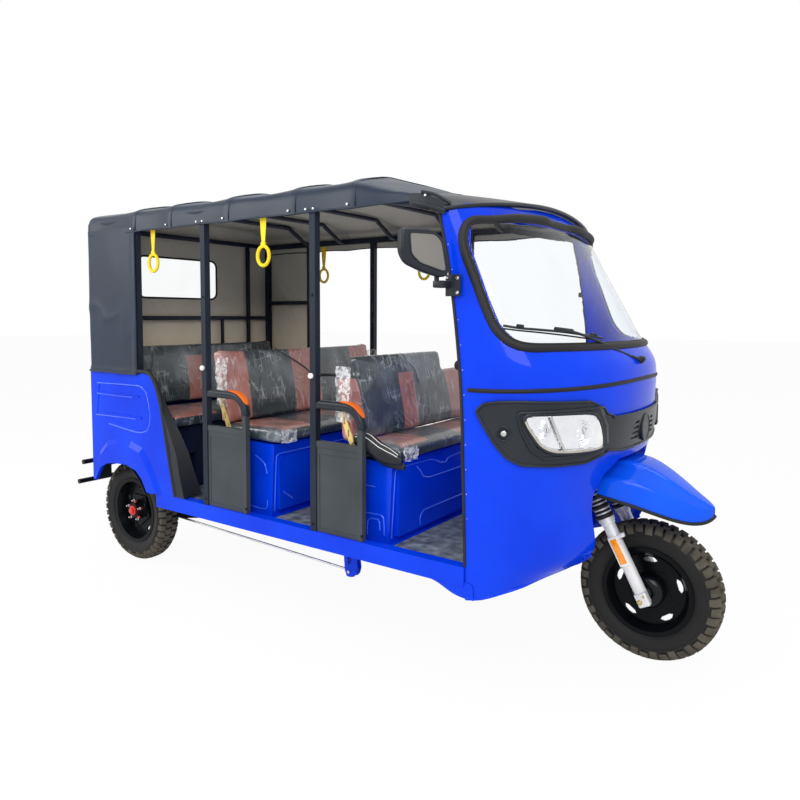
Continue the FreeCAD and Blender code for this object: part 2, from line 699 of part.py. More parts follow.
def roof_bows():
    """Cross tubes of the roof between the side rails"""
    half = post_line()
    inner = half - size("post_half") - 0.3
    radius = size("bow_radius")
    bows = []
    for back in (2330, 2051, 1658, 1266, 960):
        x = along(back)
        z = size("rail_height")
        crown = size("roof_height") - size("canvas") - radius - 3
        bows.append(bent([V(x, -inner, z), V(x, -inner + 36, z), V(x, -430, crown), V(x, 430, crown),
                          V(x, inner - 36, z), V(x, inner, z)], radius, 24))
    return feature("roof_bows", Part.makeCompound(bows))


def rear_frame():
    """Frame of the rear wall above the panel: cross bars, two uprights and the short bars of the lower part"""
    x = along(size("rear_wall_back")) + size("body_wall") + size("post_half") + 2
    half = size("frame_half")
    top = size("rail_height")
    middle = size("mid_rail_height")
    low = size("rear_top") + size("seat_gap") + half
    inner = post_line() - size("post_half") - size("seat_gap")
    pieces = [bar(x, (-inner, inner), z, half) for z in (top, middle, low)]
    pieces += [bar(x, y, (low, top), half - 2) for y in (-446, 446)]
    pieces += [bar(x, y, (low, middle), half - 4) for y in (-220, -20, 210)]
    return feature("rear_frame", fused(pieces))


def rear_posts():
    half = size("post_half")
    x = along(size("rear_wall_back")) + size("body_wall") + half + 2
    post = bar(x, post_line(), (size("tub_top") + 0.5, size("rail_height") - half - size("seat_gap")), half)
    return feature("rear_posts", Part.makeCompound(both_sides(post)))


def canopy_half():
    """Half the canopy's width: the curtain stands off the body and the roof's hem laps over it"""
    return size("body_width") / 2 + size("curtain_gap") + 2 * size("canvas") + size("seat_gap")


def roof_section(x, lift, drop, grow):
    """Cross-section of the canopy's outer face at one place along the roof"""
    half = canopy_half() + grow
    hem = size("hem_height")
    shoulder = size("shoulder_height") + drop + grow
    roof = size("roof_height") + drop + grow
    points = [V(x, -half, hem), V(x, -half, hem + 66 + drop / 3), V(x, -half + 18, shoulder - 8),
              V(x, -half + 60, shoulder + 8), V(x, -450, roof), V(x, 0, roof + lift), V(x, 450, roof),
              V(x, half - 60, shoulder + 8), V(x, half - 18, shoulder - 8), V(x, half, hem + 66 + drop / 3),
              V(x, half, hem)]
    return Part.makePolygon(points + points[:1])


def canopy_roof():
    """Canvas roof: a closed sheet over the bows that slopes down to the windscreen"""
    rear = along(size("rear_wall_back")) - (canopy_half() - size("body_width") / 2)
    front = along(size("roof_front_back"))
    turn = along(size("roof_break_back"))
    drop = size("roof_front_height") + 20 - size("roof_height")
    thick = size("canvas")

    def hood(grow, end):
        places = [(rear - grow - end, 0), (turn, 0), (front + end, drop)]
        wires = [roof_section(x, 8, fall, grow) for x, fall in places]
        return fused([Part.makeLoft(wires[0:2], True, True), Part.makeLoft(wires[1:3], True, True)])
    outer = hood(0, 0)
    inner = hood(-thick, 0)
    inner.translate(V(0, 0, -0.01))
    longer = inner.copy()
    cap = block(rear - 50, rear + thick, -900, 900, 1500, 1900)
    inner = longer.cut(cap)
    below = block(rear + thick, front + 300, -(canopy_half() - thick), canopy_half() - thick,
                  size("hem_height") - 10, size("hem_height") + 1)
    roof = outer.cut(inner).cut(below)
    return feature("canopy_roof", roof.Solids[0] if len(roof.Solids) == 1 else roof)


def rear_curtain():
    """Canvas round the rear: two sides and the back, with the window's opening"""
    half = size("body_width") / 2 + size("curtain_gap") + size("canvas")
    rear = along(size("rear_wall_back")) - size("curtain_gap")
    front = along(size("curtain_front_back"))
    thick = size("canvas")
    low = size("curtain_bottom")
    high = size("hem_height") + 30
    outer = block(rear - thick, front, -half, half, low, high)
    inner = block(rear, front + 10, -half + thick, half - thick, low - 10, high + 10)
    window = block(rear - 50, rear + 50, -size("window_left"), size("window_right"),
                   size("window_bottom"), size("window_top"))
    window = window.makeFillet(40, [edge for edge in window.Edges if is_along_x(edge)])
    return feature("rear_curtain", outer.cut(inner).cut(window))


def rear_window():
    rear = along(size("rear_wall_back")) - size("curtain_gap")
    pane = block(rear - 2.5, rear - 1, -size("window_left") + 0.3, size("window_right") - 0.3,
                 size("window_bottom") + 0.3, size("window_top") - 0.3)
    pane = pane.makeFillet(39.5, [edge for edge in pane.Edges if is_along_x(edge)])
    return feature("rear_window", pane)


# Seats

def seat_box(label, box_back, depth, panel):
    """Pressed seat box, hollow and open below, with a raised panel in front and a recess in either side"""
    body = new_body(label)
    shell = outline(body, "XZ_Plane", "side", [
        (f"-Sizes.{depth}", "Sizes.floor_top + 0.5"), ("-8", "Sizes.floor_top + 0.5"),
        ("8", "Sizes.seat_box_top"), (f"-Sizes.{depth}", "Sizes.seat_box_top")])
    pad(body, shell, "box", "2 * Sizes.seat_half_width")
    raised = outline(body, "YZ_Plane", "panel_outline", panel)
    pad(body, raised, "panel", "2 * Sizes.box_panel")
    hollow = outline(body, "XZ_Plane", "inside", [
        (f"-Sizes.{depth} + Sizes.box_wall", "Sizes.floor_top - 10"), ("-8 - Sizes.box_wall", "Sizes.floor_top - 10"),
        ("8 - Sizes.box_wall", "Sizes.seat_box_top - Sizes.box_wall"),
        (f"-Sizes.{depth} + Sizes.box_wall", "Sizes.seat_box_top - Sizes.box_wall")])
    pocket(body, hollow, "room", "2 * Sizes.seat_half_width - 2 * Sizes.box_wall")
    for sign, side in (("", "right"), ("-", "left")):
        recess = outline(body, "XZ_Plane", f"{side}_outline", [
            (f"-Sizes.{depth} + 34", "Sizes.floor_top + 60"), ("-60", "Sizes.floor_top + 60"),
            ("-38", "Sizes.seat_box_top - 56"), (f"-Sizes.{depth} + 34", "Sizes.seat_box_top - 34")],
            f"{sign}Sizes.seat_half_width")
        pocket(body, recess, f"{side}_recess", "2 * Sizes.box_recess")
    place(body, f"{FRONT_AXLE} - Sizes.{box_back}")
    return body


def cushion(label, box_back, depth):
    """Seat cushion on its box, its front edge ahead of the box"""
    body = new_body(label)
    base = "Sizes.seat_box_top + Sizes.seat_gap"
    side = outline(body, "XZ_Plane", "side", [
        (f"-Sizes.{depth} + 20", base), ("Sizes.cushion_overhang", base),
        ("Sizes.cushion_overhang + 12", f"{base} + Sizes.cushion_thickness * 0.75"),
        ("Sizes.cushion_overhang - 20", f"{base} + Sizes.cushion_thickness"),
        (f"-Sizes.{depth} + 20", f"{base} + Sizes.cushion_thickness")])
    pad(body, side, "pad", "2 * Sizes.seat_half_width")
    place(body, f"{FRONT_AXLE} - Sizes.{box_back}")
    return body


def backrest_side(body, name, base, height, back_from, lift="0"):
    """Side outline of a leaning back between its base and a height"""
    slope = "tan(Sizes.backrest_lean * 1 deg)"
    return outline(body, "XZ_Plane", name, [
        (f"-({back_from}) * {slope}", f"{base} + {back_from}"), (f"-({height}) * {slope}", f"{base} + {height}"),
        (f"-({height}) * {slope} - Sizes.backrest_thickness", f"{base} + {height} - 8"),
        (f"-({back_from}) * {slope} - Sizes.backrest_thickness", f"{base} + {back_from}")], lift)


def backrest(label, back_at, base):
    """Leaning backrest panel as high from end to end"""
    body = new_body(label)
    pad(body, backrest_side(body, "side", base, "Sizes.backrest_height", "0"), "pad", "2 * Sizes.seat_half_width")
    place(body, f"{FRONT_AXLE} - Sizes.{back_at}")
    return body


def front_backrest(base):
    """Front backrest: low shoulders, and a higher part behind the seats' middle"""
    body = new_body("front_backrest")
    shoulder = "(Sizes.backrest_height - Sizes.shoulder_drop)"
    pad(body, backrest_side(body, "side", base, shoulder, "0"), "shoulders", "2 * Sizes.front_back_half")
    middle = "(Sizes.raised_right - Sizes.raised_left) / 2"
    raised = backrest_side(body, "raised_side", base, "Sizes.backrest_height", f"({shoulder} - 40)", middle)
    pad(body, raised, "raised_part", "Sizes.raised_right + Sizes.raised_left")
    place(body, f"{FRONT_AXLE} - Sizes.front_back_at")
    return body


FRONT_PANEL = [("-523", "455"), ("-523", "728"), ("-200", "712"), ("-60", "668"), ("400", "668"), ("430", "640"),
               ("430", "455")]
MIDDLE_PANEL = [("-532", "458"), ("-532", "680"), ("-517", "696"), ("517", "696"), ("532", "680"), ("532", "458")]


def seats():
    top = "Sizes.seat_box_top + Sizes.cushion_thickness + 3 * Sizes.seat_gap"
    seat_box("front_seat_box", "front_box_back", "front_box_depth", FRONT_PANEL)
    seat_box("middle_seat_box", "middle_box_back", "middle_box_depth", MIDDLE_PANEL)
    cushion("front_cushion", "front_box_back", "front_box_depth")
    cushion("middle_cushion", "middle_box_back", "middle_box_depth")
    front_backrest(top)
    backrest("middle_backrest", "middle_back_at", top)
    rear_seat()


def rear_seat():
    """Rear bench between the wheel tubs"""
    half = size("body_width") / 2 - size("tub_width") - 1
    full = post_line() - size("post_half") - 1 + 20
    front = along(size("rear_box_back"))
    rear = rear_of_floor() + 2
    wall = size("box_wall")
    top = size("seat_box_top")
    box = block(rear + 60, front, -half, half, size("floor_top") + 0.5, top)
    room = block(rear + 60 + wall, front - wall, -half + wall, half - wall, size("floor_top"), top - wall)
    wings = block(rear + 60, front, -full + 20, full - 20, size("tub_top") + 1, top)
    wing_room = block(rear + 60 + wall, front - wall, -full + 20 + wall, full - 20 - wall,
                      size("tub_top"), top - wall)
    base = fused([box, wings]).cut(room).cut(wing_room)
    feature("rear_seat_base", base)
    thick = size("cushion_thickness")
    pad_shape = block(rear + 160, front + 45, -size("seat_half_width"), size("seat_half_width"),
                      top + size("seat_gap"), top + thick)
    feature("rear_cushion", pad_shape)
    lean = size("backrest_height") * tan(radians(size("backrest_lean")))
    at = along(size("rear_back_at"))
    low = top + thick + 3 * size("seat_gap")
    high = low + size("backrest_height")
    back = side_prism([(at, low), (at - lean, high), (at - lean - size("backrest_thickness"), high - 8),
                       (at - size("backrest_thickness"), low)], size("seat_half_width"))
    feature("rear_backrest", back)


def seat_brackets():
    """Slotted plates that hinge the front and middle backrests to their boxes, one at either end"""
    plates = []
    thick = size("bracket_plate")
    wide = size("bracket_width")
    for back_at, half in (("front_back_at", "front_back_half"), ("middle_back_at", "seat_half_width")):
        inner = size(half) + size("seat_gap")
        foot = V(along(size(back_at)) + 8, 0, size("seat_box_top") + 24)
        head = V(along(size(back_at)) - 64, 0, size("arm_height") - 24)
        corners = [(foot.x - wide / 2, foot.z), (head.x - wide / 2, head.z), (head.x + wide / 2, head.z),
                   (foot.x + wide / 2, foot.z)]
        plate = side_slab(corners, 1, inner, inner + thick)
        for share in (0.2, 0.5, 0.8):
            middle = foot + (head - foot) * share
            slot = block(middle.x - 4, middle.x + 4, inner - 1, inner + thick + 1, middle.z - 14, middle.z + 14)
            plate = plate.cut(slot)
        plates += both_sides(plate)
    return feature("seat_brackets", Part.makeCompound(plates))


# Guards beside the seats

def arch_block(x0, x1, half_width, low, high, bend):
    """A slab across the post line with its front upper corner rounded"""
    slab = block(x0, x1, -half_width, half_width, low, high)
    return slab.makeFillet(bend, [edge for edge in slab.Edges if is_corner(edge, x1, high)])


def is_corner(edge, x, z):
    middle = edge.CenterOfMass
    return abs(middle.x - x) < 0.01 and abs(middle.z - z) < 0.01 and edge.BoundBox.YLength > 1


def arm_loop(x0, x1, low, grow):
    """The square tube that runs forward from a post and bends down, grown on every face"""
    tube = size("guard_tube") + grow
    high = size("arm_height")
    bend = size("arm_bend")
    outer = arch_block(x0, x1 + tube, tube, low, high + tube, bend + tube)
    room = arch_block(x0 - 1, x1 - tube, tube + 1, low - 1, high - tube, bend - tube)
    return outer.cut(room)


def guard(post_back, length):
    """Panel guard between the sill and the armrest tube, fixed to its post"""
    tube = size("guard_tube")
    x0 = along(post_back) + size("post_half") + size("seat_gap")
    x1 = x0 + length - tube
    low = size("sill_top") + size("seat_gap")
    top = size("guard_top")
    frame = arm_loop(x0, x1, low, 0)
    half = size("guard_panel") / 2
    panel = block(x0, x1, -half, half, low, top)
    for side in (-1, 1):
        groove = block(x0 + 14, x1 - tube - 8, side * (half - 2.5), side * (half + 1), low + 16, top - 38)
        panel = panel.cut(groove)
    cross = bar((x0, x1), 0, top, tube)
    return fused([frame, panel, cross])


def guard_places():
    """Each guard's post and its length"""
    return ((size("post_one_back"), size("rear_guard_length")),
            (size("post_two_back"), size("front_guard_length")))


def on_both_post_lines(shapes):
    """Shapes made on the middle plane, set on the post line of either side"""
    placed = []
    for sign in (-1, 1):
        for shape in shapes:
            copy = shape.copy()
            copy.translate(V(0, sign * post_line(), 0))
            placed.append(copy)
    return Part.makeCompound(placed)


def side_guards():
    return feature("side_guards", on_both_post_lines([guard(*place) for place in guard_places()]))


def armrest_pad(post_back, length):
    """Foam round the armrest tube, from behind its bend to a little way down its front"""
    half = size("armpad_half")
    over = size("armpad_over")
    tube = size("guard_tube")
    x0 = along(post_back) + size("post_half") + 6
    x1 = along(post_back) + size("post_half") + size("seat_gap") + length - tube
    high = size("arm_height") + tube
    bend = size("arm_bend") + tube
    low = high - bend - size("armpad_drop") + tube
    outer = arch_block(x0, x1 + tube + over, half, low, high + over, bend + over)
    room = arch_block(x0 - 1, x1 - tube - over, half + 1, low - 1, high - 2 * tube - over, bend - 2 * tube - over)
    return outer.cut(room).cut(arm_loop(x0 - 20, x1, low - 20, size("seat_gap")))


def armrest_pads():
    return feature("armrest_pads", on_both_post_lines([armrest_pad(*place) for place in guard_places()]))


def grab_straps():
    """Webbing loops that hang from the side rails, each with its ring"""
    half = post_line()
    straps = []
    for sign in (-1, 1):
        for back in (2215, 1460):
            x = along(back)
            y = sign * half
            top = size("rail_height") - size("post_half") - 0.3
            band = block(x - 12, x + 12, y - 2, y + 2, top - 130, top)
            ring = Part.makeTorus(42, 7, V(x, y, top - 130 - 44), V(0, 1, 0))
            straps.append(band.fuse(ring))
    return feature("grab_straps", Part.makeCompound(straps))


# Running gear

def rear_axle():
    """Axle tube with its motor, carried on two leaf springs"""
    x = along(size("wheelbase"))
    z = size("tyre_diameter") / 2
    reach = size("track") / 2 - size("hub_length") / 2 - size("running_gap")
    tube = rod(V(x, -reach, z), V(x, reach, z), size("axle_tube"))
    motor = Part.makeCylinder(size("motor_radius"), size("motor_length"),
                              V(x, -size("motor_length") / 2, z), V(0, 1, 0))
    shaft_reach = size("track") / 2 + size("hub_length") / 2 + 12
    shaft = rod(V(x, -shaft_reach, z), V(x, shaft_reach, z), size("axle_radius"))
    pieces = [tube, motor, shaft]
    rail_low = size("floor_top") - size("floor_plate") - size("rail_depth")
    for sign in (-1, 1):
        y = sign * size("spring_at")
        wide = size("spring_width") / 2
        deep = size("spring_depth")
        front = along(size("spring_eye_back"))
        rear = along(size("spring_rear_back"))
        arc = [(front, rail_low - 40), (front, rail_low - 70), (x + 250, z - 32), (x, z - size("axle_tube") + 4 - deep),
               (x - 90, z - 30), (rear + 10, rail_low - 70), (rear + 10, rail_low - 40),
               (x - 80, z + 0), (x, z - size("axle_tube") + 4), (x + 240, z + 5)]
        leaf = side_slab(arc, 1, y - wide, y + wide)
        pieces.append(leaf)
        pieces.append(rod(V(front, y - wide, rail_low - 50), V(front, y + wide, rail_low - 50), 22))
        for eye in (front, rear + 10):
            pieces.append(block(eye - 16, eye + 16, y - wide, y + wide, rail_low - 55, rail_low - 0.6))
    return feature("rear_axle", fused(pieces))


def brake_linkage():
    """Pedal bracket under the floor and the pull rod back to the axle"""
    rail_low = size("floor_top") - size("floor_plate") - size("rail_depth")
    y = -(size("spring_at") + size("spring_width") / 2 + size("rod_radius") + 8)
    axle_front = along(size("wheelbase")) + size("axle_tube") + size("seat_gap")
    bracket = side_slab([(along(1190), rail_low - 0.6), (along(1130), rail_low - 0.6), (along(1105), 235),
                         (along(1125), 196), (along(1165), 190)], -1, -y - 4, -y + 4)
    hanger = block(along(1190), along(1130), y - 4, -size("rail_spacing") / 2 + 15, rail_low - 8, rail_low - 0.6)
    pull = rod(V(along(1150), y, 215), V(along(2450), y, 252), size("rod_radius"))
    lever = side_slab([(axle_front, 285), (axle_front, 255), (along(2460), 236), (along(2440), 240),
                       (along(2436), 262)], -1, -y - 4, -y + 4)
    return feature("brake_linkage", fused([bracket, hanger, pull, lever]))


# Steering: everything here turns about the raked axis

def steering_point(distance):
    """A point on the steering axis, so far above the place level with the axle"""
    angle = radians(size("rake"))
    axle = V(along(0), 0, size("tyre_diameter") / 2)
    foot = axle - V(cos(angle), 0, sin(angle)) * size("fork_offset")
    return foot + V(-sin(angle), 0, cos(angle)) * distance


def steering_line(start, end, radius):
    return rod(steering_point(start), steering_point(end), radius)


def leg_point(distance, sign):
    """A point on a fork leg's middle line, so far above the wheel axle along the rake"""
    angle = radians(size("rake"))
    up = V(-sin(angle), 0, cos(angle))
    return V(along(0), sign * size("leg_spacing") / 2, size("tyre_diameter") / 2) + up * distance


def fork_legs():
    """Lower legs with rubber boots above them, and the axle between the legs"""
    legs = []
    for sign in (-1, 1):
        lower = rod(leg_point(-22, sign), leg_point(size("leg_length"), sign), size("leg_radius"))
        boot = rod(leg_point(size("leg_length"), sign),
                   leg_point(size("leg_length") + size("boot_length"), sign), size("boot_radius"))
        tube = rod(leg_point(size("leg_length"), sign), leg_point(size("yoke_height") - 15.5, sign),
                   size("tube_radius"))
        legs.append(fused([lower, boot, tube]))
    spacing = size("leg_spacing") / 2
    z = size("tyre_diameter") / 2
    axle = rod(V(along(0), -spacing, z), V(along(0), spacing, z), size("axle_radius"))
    return feature("fork_legs", fused(legs + [axle]))


def fork_yoke():
    """Crown plate over the legs with the stem, and the handlebar's clamp at its top"""
    angle = size("rake")
    height = size("yoke_height")
    thickness = size("yoke_thickness")
    half = size("leg_spacing") / 2
    plate = block(-34, 34 + size("fork_offset"), -half - 34, half + 34, -thickness / 2, thickness / 2)
    plate = plate.makeFillet(26, [edge for edge in plate.Edges if is_upright(edge)])
    plate.rotate(V(0, 0, 0), V(0, 1, 0), -angle)
    plate.translate(steering_point(height))
    race = size("stem_radius") + size("running_gap") - size("seat_gap")
    low_race = height + 30
    high_race = height + 30 + size("head_length")
    races = [steering_line(low_race + 2, low_race + 14, race), steering_line(high_race - 14, high_race - 2, race)]
    crown = steering_point(height)
    shelf = size("fender_crown") - 11.9
    bracket = side_prism([(crown.x + 20, crown.z), (crown.x + 30, crown.z - 10), (along(110), shelf - 14),
                          (along(90), shelf), (along(150), shelf)], 28)
    stem = steering_line(height, bar_place() - size("bar_radius") - size("seat_gap"), size("stem_radius"))
    return feature("fork_yoke", fused([plate, stem, bracket] + races))


def is_upright(edge):
    direction = edge.tangentAt(edge.FirstParameter)
    return abs(abs(direction.z) - 1) < 0.001


def bar_place():
    """How far up the steering axis the handlebar sits"""
    return (size("bar_height") - steering_point(0).z) / cos(radians(size("rake")))


def handlebar():
    """Swept bar with its two grips"""
    centre = steering_point(bar_place())
    reach = size("bar_reach")
    sweep = size("bar_sweep")
    points = [centre + V(-sweep, -reach, 0), centre + V(-50, -reach + 120, 0), centre + V(0, -110, 0),
              centre + V(0, 110, 0), centre + V(-50, reach - 120, 0), centre + V(-sweep, reach, 0)]
    bar = bent(points, size("bar_radius"), 60)
    pieces = [bar]
    for sign in (-1, 1):
        end = centre + V(-sweep, sign * reach, 0)
        run = (centre + V(-50, sign * (reach - 120), 0) - end).normalize()
        pieces.append(rod(end, end + run * size("grip_length"), size("grip_radius")))
    return feature("handlebar", fused(pieces))


# Stations of the fender: distance ahead of the axle, half width, height of its top and how far its sides fall
FENDER_STATIONS = [(-150, 200, 777, 120), (-80, 196, 783, 120), (-20, 184, 776, 120), (50, 156, 741, 103),
                   (110, 122, 700, 79), (165, 84, 661, 50), (200, 48, 638, 31)]
# Half its cross-section from the middle out: share of the half width, share of the fall
FENDER_SECTION = [(0, 0), (0.40, 0.03), (0.47, 0.15), (0.90, 0.46), (0.97, 0.62), (1, 1)]


def fender_form(inset):
    """The fender's closed form between its stations, with creases along its flat top and over its lip"""
    wires = []
    for ahead, half, top, fall in FENDER_STATIONS:
        right = [((half - inset) * across, top - inset - fall * down) for across, down in FENDER_SECTION]
        right.append((right[-1][0], right[-1][1] - 40))
        corners = [V(along(-ahead), -y, z) for y, z in reversed(right[1:])] + [V(along(-ahead), y, z) for y, z in right]
        wires.append(Part.makePolygon(corners + corners[:1]))
    return Part.makeLoft(wires, True, False)


def front_fender():
    """Long peaked fender over the front wheel, carried by the crown plate"""
    below = [(300, 300), (300, 640), (150, 655), (50, 636), (-50, 606), (-110, 580), (-160, 566), (-260, 556),
             (-260, 300)]
    shell = fender_form(0).cut(fender_form(size("fender_wall")))
    return feature("front_fender", shell.cut(side_prism([(along(back), z) for back, z in below], 400)))


# Wheels

def tyre(label, x, y):
    """Tyre on its rim: beads between the flanges, bulged side walls and a flat tread"""
    body = new_body(label)
    outer = "Sizes.tyre_diameter / 2"
    bead = "(Sizes.bead_diameter / 2 + Sizes.seat_gap)"
    wide = "Sizes.tyre_width / 2"
    seat = "(Sizes.rim_width / 2 - Sizes.rim_wall - 2 * Sizes.seat_gap)"
    right = [(seat, bead), (seat, f"{bead} + Sizes.rim_flange + 2 * Sizes.seat_gap"),
             (wide, f"{bead} + Sizes.bulge_height"), (f"{wide} - Sizes.shoulder_inset / 4", f"{outer} - Sizes.shoulder_inset"),
             (f"{wide} - Sizes.shoulder_inset", outer)]
    left = [(f"-({across})", radius) for across, radius in right]
    section_sketch = outline(body, "YZ_Plane", "section", left + right[::-1])
    revolve(body, section_sketch, "tyre")
    place(body, x, y, "Sizes.tyre_diameter / 2")
    return body


def wheel(label, x, y, outward):
    """Pressed rim with five windows round a raised five-cornered centre, on its hub"""
    body = new_body(label)
    half = "Sizes.rim_width / 2"
    bead = "Sizes.bead_diameter / 2"
    wall = "Sizes.rim_wall"
    flange = "Sizes.rim_flange"
    corners = [
        (f"-{half}", f"{bead} + {flange}"), (f"-{half}", f"{bead} - {wall}"), (f"-14 - Sizes.disc_wall", f"{bead} - 22"),
        ("-8", f"{bead} - 24"), ("-8", "Sizes.hub_radius"), ("-Sizes.hub_length / 2", "Sizes.hub_radius - 8"),
        ("-Sizes.hub_length / 2", "Sizes.axle_radius + 0.5"), ("Sizes.hub_length / 2", "Sizes.axle_radius + 0.5"),
        ("Sizes.hub_length / 2", "Sizes.hub_radius - 14"), ("14", "Sizes.hub_radius"), ("-8 + Sizes.disc_wall + 4", "Sizes.hub_radius + 8"),
        ("-8 + Sizes.disc_wall", f"{bead} - 24"), ("14", f"{bead} - 18"), (half, f"{bead} - {wall}"),
        (half, f"{bead} + {flange}"), (f"{half} - {wall}", f"{bead} + {flange}"), (f"{half} - {wall}", bead),
        ("14", f"{bead} - 11"), ("-14", f"{bead} - 11"), (f"-{half} + {wall}", bead), (f"-{half} + {wall}", f"{bead} + {flange}")]
    if outward < 0:
        corners = [(f"-({across})", radius) for across, radius in corners]
    profile = outline(body, "YZ_Plane", "section", corners)
    revolve(body, profile, "disc")
    star = [(f"Sizes.star_radius * sin({72 * step + 36} deg)", f"Sizes.star_radius * cos({72 * step + 36} deg)")
            for step in range(5)]
    pad(body, outline(body, "XZ_Plane", "star_outline", star), "star", "2 * Sizes.star_height")
    pocket(body, circle(body, "XZ_Plane", "bore_outline", "0", "0", "Sizes.axle_radius + 0.5"), "bore", "100")
    rise = "Sizes.vent_rise"
    reach = "Sizes.vent_reach"
    circle_at = "Sizes.vent_circle"
    hole = outline(body, "XZ_Plane", "vent", [
        (f"-{reach}", f"{circle_at} - {rise} * 0.4"), (f"-{reach} * 0.6", f"{circle_at} + {rise} * 0.7"),
        ("0", f"{circle_at} + {rise}"), (f"{reach} * 0.6", f"{circle_at} + {rise} * 0.7"),
        (reach, f"{circle_at} - {rise} * 0.4"), (f"{reach} * 0.55", f"{circle_at} - {rise}"),
        (f"-{reach} * 0.55", f"{circle_at} - {rise}")])
    vent = pocket(body, hole, "vent_hole", "40")
    body.Tip = vent
    ring = body.newObject("PartDesign::PolarPattern", "vents")
    ring.Originals = [vent]
    ring.Axis = (origin_axis(body, "Y_Axis"), [""])
    ring.Angle = 360
    ring.setExpression("Occurrences", "Sizes.vent_count")
    body.Tip = ring
    place(body, x, y, "Sizes.tyre_diameter / 2")
    return body


def origin_axis(body, role):
    return next(each for each in body.Origin.OriginFeatures if each.Role == role)


def wheels():
    front_x = FRONT_AXLE
    rear_x = f"{FRONT_AXLE} - Sizes.wheelbase"
    tyre("front_tyre", front_x, "0")
    wheel("front_rim", front_x, "0", 1)
    for sign, name in ((1, "left"), (-1, "right")):
        y = f"{sign} * Sizes.track / 2"
        tyre(f"rear_{name}_tyre", rear_x, y)
        wheel(f"rear_{name}_rim", rear_x, y, sign)


def build():
    wheels()
    fork_legs()
    fork_yoke()
    handlebar()
    front_fender()
    cab_shell()
    windscreen_glass()
    windscreen_seal()
    front_mask()
    headlamps()
    front_bulkhead()
    wheel_house()
    visor()
    mirrors()
    wiper()
    floor_pan()
    chassis_frame()
    rear_quarter(1, "rear_quarter_left")
    rear_quarter(-1, "rear_quarter_right")
    rear_panel()
    rear_bumper()
    rear_lamps()
    side_frame(1, "side_frame_left")
    side_frame(-1, "side_frame_right")
    roof_bows()
    rear_frame()
    rear_posts()
    canopy_roof()
    rear_curtain()
    rear_window()
    seats()
    seat_brackets()
    side_guards()
    armrest_pads()
    grab_straps()
    rear_axle()
    brake_linkage()


def write_parts():
    """Check every object, then write each sub-part to a file of its own"""
    doc.recompute()
    for each in doc.Objects:
        if "Invalid" in each.State or "Error" in each.State:
            raise RuntimeError(f"{each.Label} failed: {each.State}")
    pieces = [each for each in doc.Objects
              if each.TypeId in ("PartDesign::Body", "Part::Feature") and each.getParentGeoFeatureGroup() is None]
    os.makedirs("parts", exist_ok=True)
    for piece in pieces:
        if piece.Shape.isNull() or not piece.Shape.isValid():
            raise RuntimeError(f"{piece.Label} has no valid shape")
        piece.Shape.exportStep(f"parts/{piece.Label}.step")
        box = piece.Shape.BoundBox
        print(f"{piece.Label:20s} solids {len(piece.Shape.Solids)} volume {piece.Shape.Volume / 1000:.0f} cm3"
              f" x {box.XMin:.0f}..{box.XMax:.0f} y {box.YMin:.0f}..{box.YMax:.0f} z {box.ZMin:.0f}..{box.ZMax:.0f}")


build()
write_parts()
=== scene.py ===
import bpy
import bmesh
import math
import random
from mathutils import Matrix, Vector, noise
from mathutils.bvhtree import BVHTree


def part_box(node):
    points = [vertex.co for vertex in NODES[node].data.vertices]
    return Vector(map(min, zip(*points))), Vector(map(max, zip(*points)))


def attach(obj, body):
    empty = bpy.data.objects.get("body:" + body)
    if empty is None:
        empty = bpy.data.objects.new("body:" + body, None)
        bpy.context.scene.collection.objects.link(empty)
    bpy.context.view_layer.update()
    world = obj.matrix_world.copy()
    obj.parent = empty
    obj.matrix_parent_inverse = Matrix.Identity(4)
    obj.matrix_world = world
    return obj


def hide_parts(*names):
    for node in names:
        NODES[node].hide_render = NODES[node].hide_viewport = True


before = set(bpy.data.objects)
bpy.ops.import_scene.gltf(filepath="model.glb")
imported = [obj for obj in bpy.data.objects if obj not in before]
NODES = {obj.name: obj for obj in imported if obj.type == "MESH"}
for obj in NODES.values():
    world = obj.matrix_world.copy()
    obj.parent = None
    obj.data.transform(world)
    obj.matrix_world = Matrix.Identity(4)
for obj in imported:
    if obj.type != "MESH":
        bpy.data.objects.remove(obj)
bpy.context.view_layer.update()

AXLE_X = sum(corner.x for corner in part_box("front_tyre")) / 2


def at(back):
    """The X of a place that lies this far behind the front axle, in metres"""
    return AXLE_X - back


# Shader helpers

def shader(name):
    """A new material with its node tree, its Principled BSDF and its Object coordinates"""
    made = bpy.data.materials.new(name)
    made.use_nodes = True
    tree = made.node_tree
    principled = tree.nodes["Principled BSDF"]
    place = tree.nodes.new("ShaderNodeTexCoord")
    return made, tree, principled, place.outputs["Object"]


def node(tree, kind, links=None, **values):
    """Adds a node, sets its inputs by name or its properties, and links what feeds it"""
    made = tree.nodes.new(kind)
    for name, value in values.items():
        if name in made.inputs.keys():
            made.inputs[name].default_value = value
        else:
            setattr(made, name, value)
    for name, source in (links or {}).items():
        tree.links.new(source, made.inputs[name])
    return made


def ramp(tree, source, stops):
    """A colour ramp between stops of (place, colour)"""
    made = tree.nodes.new("ShaderNodeValToRGB")
    tree.links.new(source, made.inputs["Fac"])
    elements = made.color_ramp.elements
    while len(elements) < len(stops):
        elements.new(0.5)
    for element, (place, colour) in zip(elements, stops):
        element.position = place
        element.color = colour if len(colour) == 4 else (*colour, 1)
    return made.outputs["Color"]


